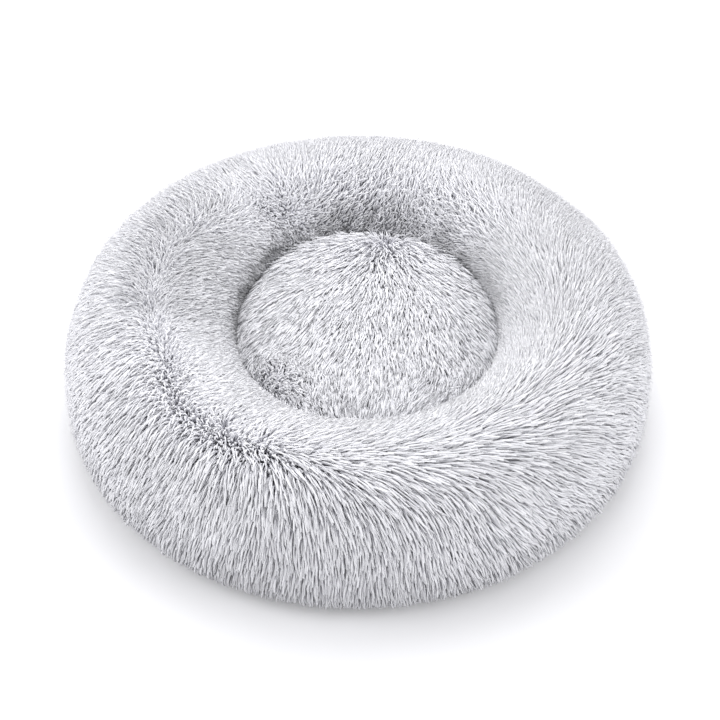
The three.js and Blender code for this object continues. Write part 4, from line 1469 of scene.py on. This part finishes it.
class BED_OT_base(bpy.types.Operator):
    """Make the base cloth, its grip dots and the border under the ring"""

    bl_idname = "bed.base"
    bl_label = "Base and border"

    def execute(self, context):
        sizes, cloth = context.scene.bed_sizes, context.scene.bed_cloth
        canvas = cloth_material("Base canvas", cloth.base, threads=1800)
        base = add_piece("base_cloth", self.disc(cloth), canvas, smooth=False)
        thicken(base, sizes.cloth, offset=1.0)
        dots = add_piece("grip_dots", self.dots(cloth), rubber_material())
        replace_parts(base, "base_panel")
        around = FULL_TURN - (ZIP_END - ZIP_START)
        skin = strip_skin(320, 6, (ZIP_END, ZIP_END + around), (STRIP_FROM, STRIP_TO), sag=BORDER_SAG)
        border = add_piece("border_cloth", skin, canvas)
        thicken(border, sizes.cloth, offset=0.0)
        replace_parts(border, "base_border")
        return {"FINISHED"}

    @staticmethod
    def disc(cloth):
        """The base cloth as a flat skin of rings, just above the dots."""
        bm = bmesh.new()
        bmesh.ops.create_circle(bm, cap_ends=True, segments=180, radius=BASE_RADIUS)
        for _ in range(BASE_RINGS):
            bmesh.ops.inset_region(bm, faces=[largest_face(bm)], thickness=BASE_RADIUS / (BASE_RINGS + 2))
        bmesh.ops.translate(bm, verts=bm.verts, vec=(0, 0, cloth.dot_height))
        bmesh.ops.recalc_face_normals(bm, faces=bm.faces)
        return bm

    @staticmethod
    def dots(cloth):
        """Rubber grip dots in a close pattern on the underside."""
        bm = bmesh.new()
        pitch, height = cloth.dot_pitch, cloth.dot_height
        rows = int(BASE_RADIUS / (pitch * DOT_ROW_SHARE))
        for row in range(-rows, rows + 1):
            y = row * pitch * DOT_ROW_SHARE
            half = math.sqrt(max(0.0, (BASE_RADIUS - DOT_MARGIN) ** 2 - y * y))
            shift = pitch / 2 if row % 2 else 0.0
            x = -math.floor((half + shift) / pitch) * pitch + shift
            while x <= half:
                made = bmesh.ops.create_circle(bm, cap_ends=True, segments=8, radius=cloth.dot_radius)
                verts = made["verts"]
                face = verts[0].link_faces[0]
                bmesh.ops.translate(bm, verts=verts, vec=(x, y, height + DOT_CLEARANCE))
                lower = verts_in(bmesh.ops.extrude_face_region(bm, geom=[face])["geom"])
                bmesh.ops.translate(bm, verts=lower, vec=(0, 0, -height))
                bmesh.ops.scale(bm, verts=lower, vec=(DOT_TIP_SHARE, DOT_TIP_SHARE, 1),
                                space=Matrix.Translation((-x, -y, 0)))
                x += pitch
        bmesh.ops.recalc_face_normals(bm, faces=bm.faces)
        return bm


class BED_OT_seams(bpy.types.Operator):
    """Make the rolled seams"""

    bl_idname = "bed.seams"
    bl_label = "Seams"

    def execute(self, context):
        material = ribbed_material("Sewn seam", along=360, across=3, roughness=0.8, depth=0.0004)
        for name, stitches in (("inner_seam_cord", 180), ("outer_seam_cord", 330), ("base_seam_cord", 300)):
            skin = self.roll(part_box(name), stitches)
            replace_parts(add_piece(name.replace("cord", "roll"), skin, material), name)
        return {"FINISHED"}

    @staticmethod
    def roll(box, stitches):
        """A rolled seam round the ellipse that fills a box, pinched a little by each stitch."""
        low, high = np.array(box)
        middle, half = (low + high) / 2, (high - low) / 2
        radius = half[2]

        def form(across, up):
            turn, around = across * FULL_TURN, up * FULL_TURN
            size = radius * (0.93 + 0.07 * np.cos(turn * stitches))
            out = size * np.cos(around) - radius
            x = middle[0] + (half[0] + out) * np.cos(turn)
            y = middle[1] + (half[1] + out) * np.sin(turn)
            return np.stack([x, y, middle[2] + size * np.sin(around)], axis=1)

        return mapped_skin(stitches * 2, 8, form, closed=True)


class BED_OT_zip(bpy.types.Operator):
    """Make the zip's tapes, coils, stops, end tabs, slider and pull"""

    bl_idname = "bed.zip"
    bl_label = "Zip"

    def execute(self, context):
        tape = ribbed_material("Zip tape", along=420, across=5, roughness=0.85, depth=0.0003)
        for name, along in (
            ("zip_tape_inner", (STRIP_FROM, ZIP_MIDDLE - CHAIN_HALF)),
            ("zip_tape_outer", (ZIP_MIDDLE + CHAIN_HALF, STRIP_TO)),
        ):
            self.cloth(name, strip_skin(180, 3, (ZIP_START, ZIP_END), along), tape)
        tab = ribbed_material("Zip tab", along=24, across=16, roughness=0.85, depth=0.0003)
        half = TAB_HALF / (STRIP_START[0] + STRIP_ALONG[0] * ZIP_MIDDLE)
        for name in ("zip_end_tab_left", "zip_end_tab_right"):
            low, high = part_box(name)
            turn = math.atan2(low[1] + high[1], low[0] + high[0])
            skin = strip_skin(6, 8, (turn - half, turn + half), (STRIP_FROM, STRIP_TO), drop=TAB_DROP)
            self.cloth(name, skin, tab)
        nylon = nylon_material()
        for name, side in (("zip_coil_inner", -1), ("zip_coil_outer", 1)):
            coil = link_piece(name + "_thread", self.coil(name + "_thread", side), nylon)
            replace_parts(coil, name)
        enamel = enamel_material()
        for name in ("zip_stop_closed", "zip_stop_open", "zip_slider", "zip_pull"):
            source = frame["nodes"][name]
            part = self.rounded_part(source.data)
            piece = add_piece(name + "_part", part, enamel, False, source["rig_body"])
            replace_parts(piece, name)
        return {"FINISHED"}

    @staticmethod
    def cloth(name, skin, material):
        """A tape or a tab from its skin."""
        piece = add_piece(name + "_cloth", skin, material)
        thicken(piece, look("bed_sizes").tape, offset=0.0)
        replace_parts(piece, name)

    @staticmethod
    def coil(name, side):
        """One side's coil: a wound nylon thread whose loops lean towards the other side's."""
        low, high = ZIP_START + COIL_INSET, ZIP_END - COIL_INSET
        share = np.linspace(0, 1, TEETH * TOOTH_STEPS + 1)
        around = share * TEETH * FULL_TURN + (0 if side < 0 else math.pi)
        along = ZIP_MIDDLE + side * COIL_ASIDE + COIL_HALF_WIDTH * np.cos(around)
        points = strip_place(low + share * (high - low), along, COIL_HALF_HEIGHT * np.sin(around))
        curve = bpy.data.curves.new(name, "CURVE")
        curve.dimensions = "3D"
        curve.bevel_depth = THREAD_RADIUS
        curve.bevel_resolution = 0
        curve.use_fill_caps = True
        spline = curve.splines.new("POLY")
        spline.points.add(len(points) - 1)
        spline.points.foreach_set("co", np.hstack([points, np.ones((len(points), 1))]).ravel())
        return curve

    @staticmethod
    def rounded_part(mesh):
        """The node's own shape with its edges rounded."""
        bm = bmesh.new()
        bm.from_mesh(mesh)
        bmesh.ops.remove_doubles(bm, verts=bm.verts, dist=0.000002)
        bmesh.ops.dissolve_limit(bm, angle_limit=2 * DEGREE, verts=bm.verts, edges=bm.edges)
        inner = (edge for edge in bm.edges if len(edge.link_faces) == 2)
        sharp = [edge for edge in inner if edge.calc_face_angle() > SHARP_ANGLE]
        bmesh.ops.bevel(
            bm, geom=sharp, offset=METAL_ROUNDING, offset_type="OFFSET", affect="EDGES", segments=2,
            profile=0.5, material=-1, clamp_overlap=True,
        )
        return bm


class BED_OT_linings(bpy.types.Operator):
    """Finish the linings and the stuffing, which lie out of sight"""

    bl_idname = "bed.linings"
    bl_label = "Linings and stuffing"

    def execute(self, context):
        cloth = context.scene.bed_cloth
        lining = cloth_material("Lining", cloth.lining, threads=2200, fold=0.4)
        fibre = fibre_material()
        for name, material in (
            ("bolster_liner", lining), ("tunnel_wall", lining), ("cushion_liner", lining),
            ("bolster_fill", fibre), ("cushion_fill", fibre),
        ):
            mesh = frame["nodes"][name].data
            mesh.materials.clear()
            mesh.materials.append(material)
        return {"FINISHED"}


# Stage

# Lamps: name, the setting of their power, size across and place
LAMPS = (
    ("Key", "key", 1.4, (0.0, 0.7, 1.55)),
    ("Left", "side", 1.1, (-1.4, -0.25, 0.75)),
    ("Right", "side", 1.1, (1.4, -0.7, 0.75)),
    ("Fill", "fill", 1.4, (-0.5, -1.5, 1.1)),
)
LAMP_TARGET = Vector((0.0, 0.0, 0.08))
FLOOR_HALF = 1.5
FLOOR_DROP = 0.0002
WHITE = (1, 1, 1, 1)


def seen_share(tree):
    """1 for what the camera sees, also in or through a piece, and 0 for the light on the pieces."""
    rays = node(tree, "ShaderNodeLightPath").outputs
    seen = sum_of(tree, "MAXIMUM", rays["Is Camera Ray"], rays["Is Glossy Ray"])
    return sum_of(tree, "MAXIMUM", seen, rays["Is Transmission Ray"])


class BED_OT_stage(bpy.types.Operator):
    """Set the floor, the lamps and the camera"""

    bl_idname = "bed.stage"
    bl_label = "Stage"

    def execute(self, context):
        stage = context.scene.bed_stage
        self.floor(stage)
        context.scene.world = self.sky(stage)
        for name, setting, size, place in LAMPS:
            self.lamp(name, getattr(stage, setting), size, place)
        context.scene.camera = self.camera(stage)
        context.scene.view_settings.view_transform = "Standard"
        return {"FINISHED"}

    @staticmethod
    def sky(stage):
        """Even light from all sides, in front of which the bed is seen on white."""
        world = bpy.data.worlds.new("Studio")
        world.use_nodes = True
        tree = world.node_tree
        tree.nodes.clear()
        even = node(tree, "ShaderNodeBackground", {"Color": WHITE, "Strength": stage.sky})
        white = node(tree, "ShaderNodeBackground", {"Color": WHITE, "Strength": 1.0})
        inputs = {0: seen_share(tree), 1: even.outputs[0], 2: white.outputs[0]}
        both = node(tree, "ShaderNodeMixShader", inputs)
        node(tree, "ShaderNodeOutputWorld", {"Surface": both.outputs[0]})
        return world

    @staticmethod
    def floor(stage):
        """A pale floor that looks white to the camera where it is lit."""
        bm = bmesh.new()
        bmesh.ops.create_grid(bm, x_segments=1, y_segments=1, size=FLOOR_HALF)
        bmesh.ops.translate(bm, verts=bm.verts, vec=(0, 0, -FLOOR_DROP))
        piece = link_object("floor", mesh_of("floor", bm, smooth=False))
        material, tree, shader = new_material("Pale floor", roughness=0.9, specular=0.0)
        shader.inputs["Base Color"].default_value = colour(stage.floor)
        strength = sum_of(tree, "MULTIPLY", seen_share(tree), stage.floor_glow)
        glow = node(tree, "ShaderNodeEmission", {"Color": WHITE, "Strength": strength})
        total = node(tree, "ShaderNodeAddShader", {0: shader.outputs[0], 1: glow.outputs[0]})
        tree.links.new(total.outputs[0], tree.nodes["Material Output"].inputs["Surface"])
        piece.data.materials.append(material)

    @staticmethod
    def lamp(name, power, size, place):
        """A round lamp that points at the bed."""
        light = bpy.data.lights.new(name, "AREA")
        light.energy = power
        light.shape = "DISK"
        light.size = size
        lamp = link_object(name, light)
        lamp.location = place
        lamp.rotation_euler = (LAMP_TARGET - Vector(place)).to_track_quat("-Z", "Y").to_euler()

    @staticmethod
    def camera(stage):
        """The camera, which looks down on the bed from the front."""
        data = bpy.data.cameras.new("Camera")
        data.lens = stage.lens
        data.sensor_width = 36.0
        camera = link_object("Camera", data)
        lift = math.radians(stage.elevation)
        back, up = stage.distance * math.cos(lift), stage.distance * math.sin(lift)
        camera.location = (stage.aside, -back, stage.target_height + up)
        camera.rotation_euler = (math.pi / 2 - lift, 0.0, 0.0)
        return camera


STEPS = (
    BED_OT_stage, BED_OT_covers, BED_OT_ring_pile, BED_OT_cushion_pile, BED_OT_linings,
    BED_OT_base, BED_OT_seams, BED_OT_zip,
)


class BED_PT_panel(bpy.types.Panel):
    """Sizes and colours of the pet bed, and the steps that make it"""

    bl_idname = "BED_PT_panel"
    bl_label = "Pet bed"
    bl_space_type = "VIEW_3D"
    bl_region_type = "UI"
    bl_category = "Pet bed"

    def draw(self, context):
        layout = self.layout
        for group in ("bed_sizes", "bed_pile", "bed_cloth", "bed_stage"):
            box = layout.box()
            settings = getattr(context.scene, group)
            for key in settings.__annotations__:
                box.prop(settings, key)
        for step in STEPS:
            layout.operator(step.bl_idname)


GROUPS = {"bed_sizes": BedSizes, "bed_pile": PileLook, "bed_cloth": ClothLook, "bed_stage": StageLook}
CLASSES = (*GROUPS.values(), *STEPS, BED_PT_panel)


def register():
    for made in CLASSES:
        bpy.utils.register_class(made)
    for name, group in GROUPS.items():
        setattr(bpy.types.Scene, name, PointerProperty(type=group))


def unregister():
    for name in GROUPS:
        delattr(bpy.types.Scene, name)
    for made in reversed(CLASSES):
        bpy.utils.unregister_class(made)


def main():
    """Makes the bed step by step."""
    register()
    for step in STEPS:
        area, action = step.bl_idname.split(".")
        getattr(getattr(bpy.ops, area), action)()


if __name__ == "__main__":
    main()
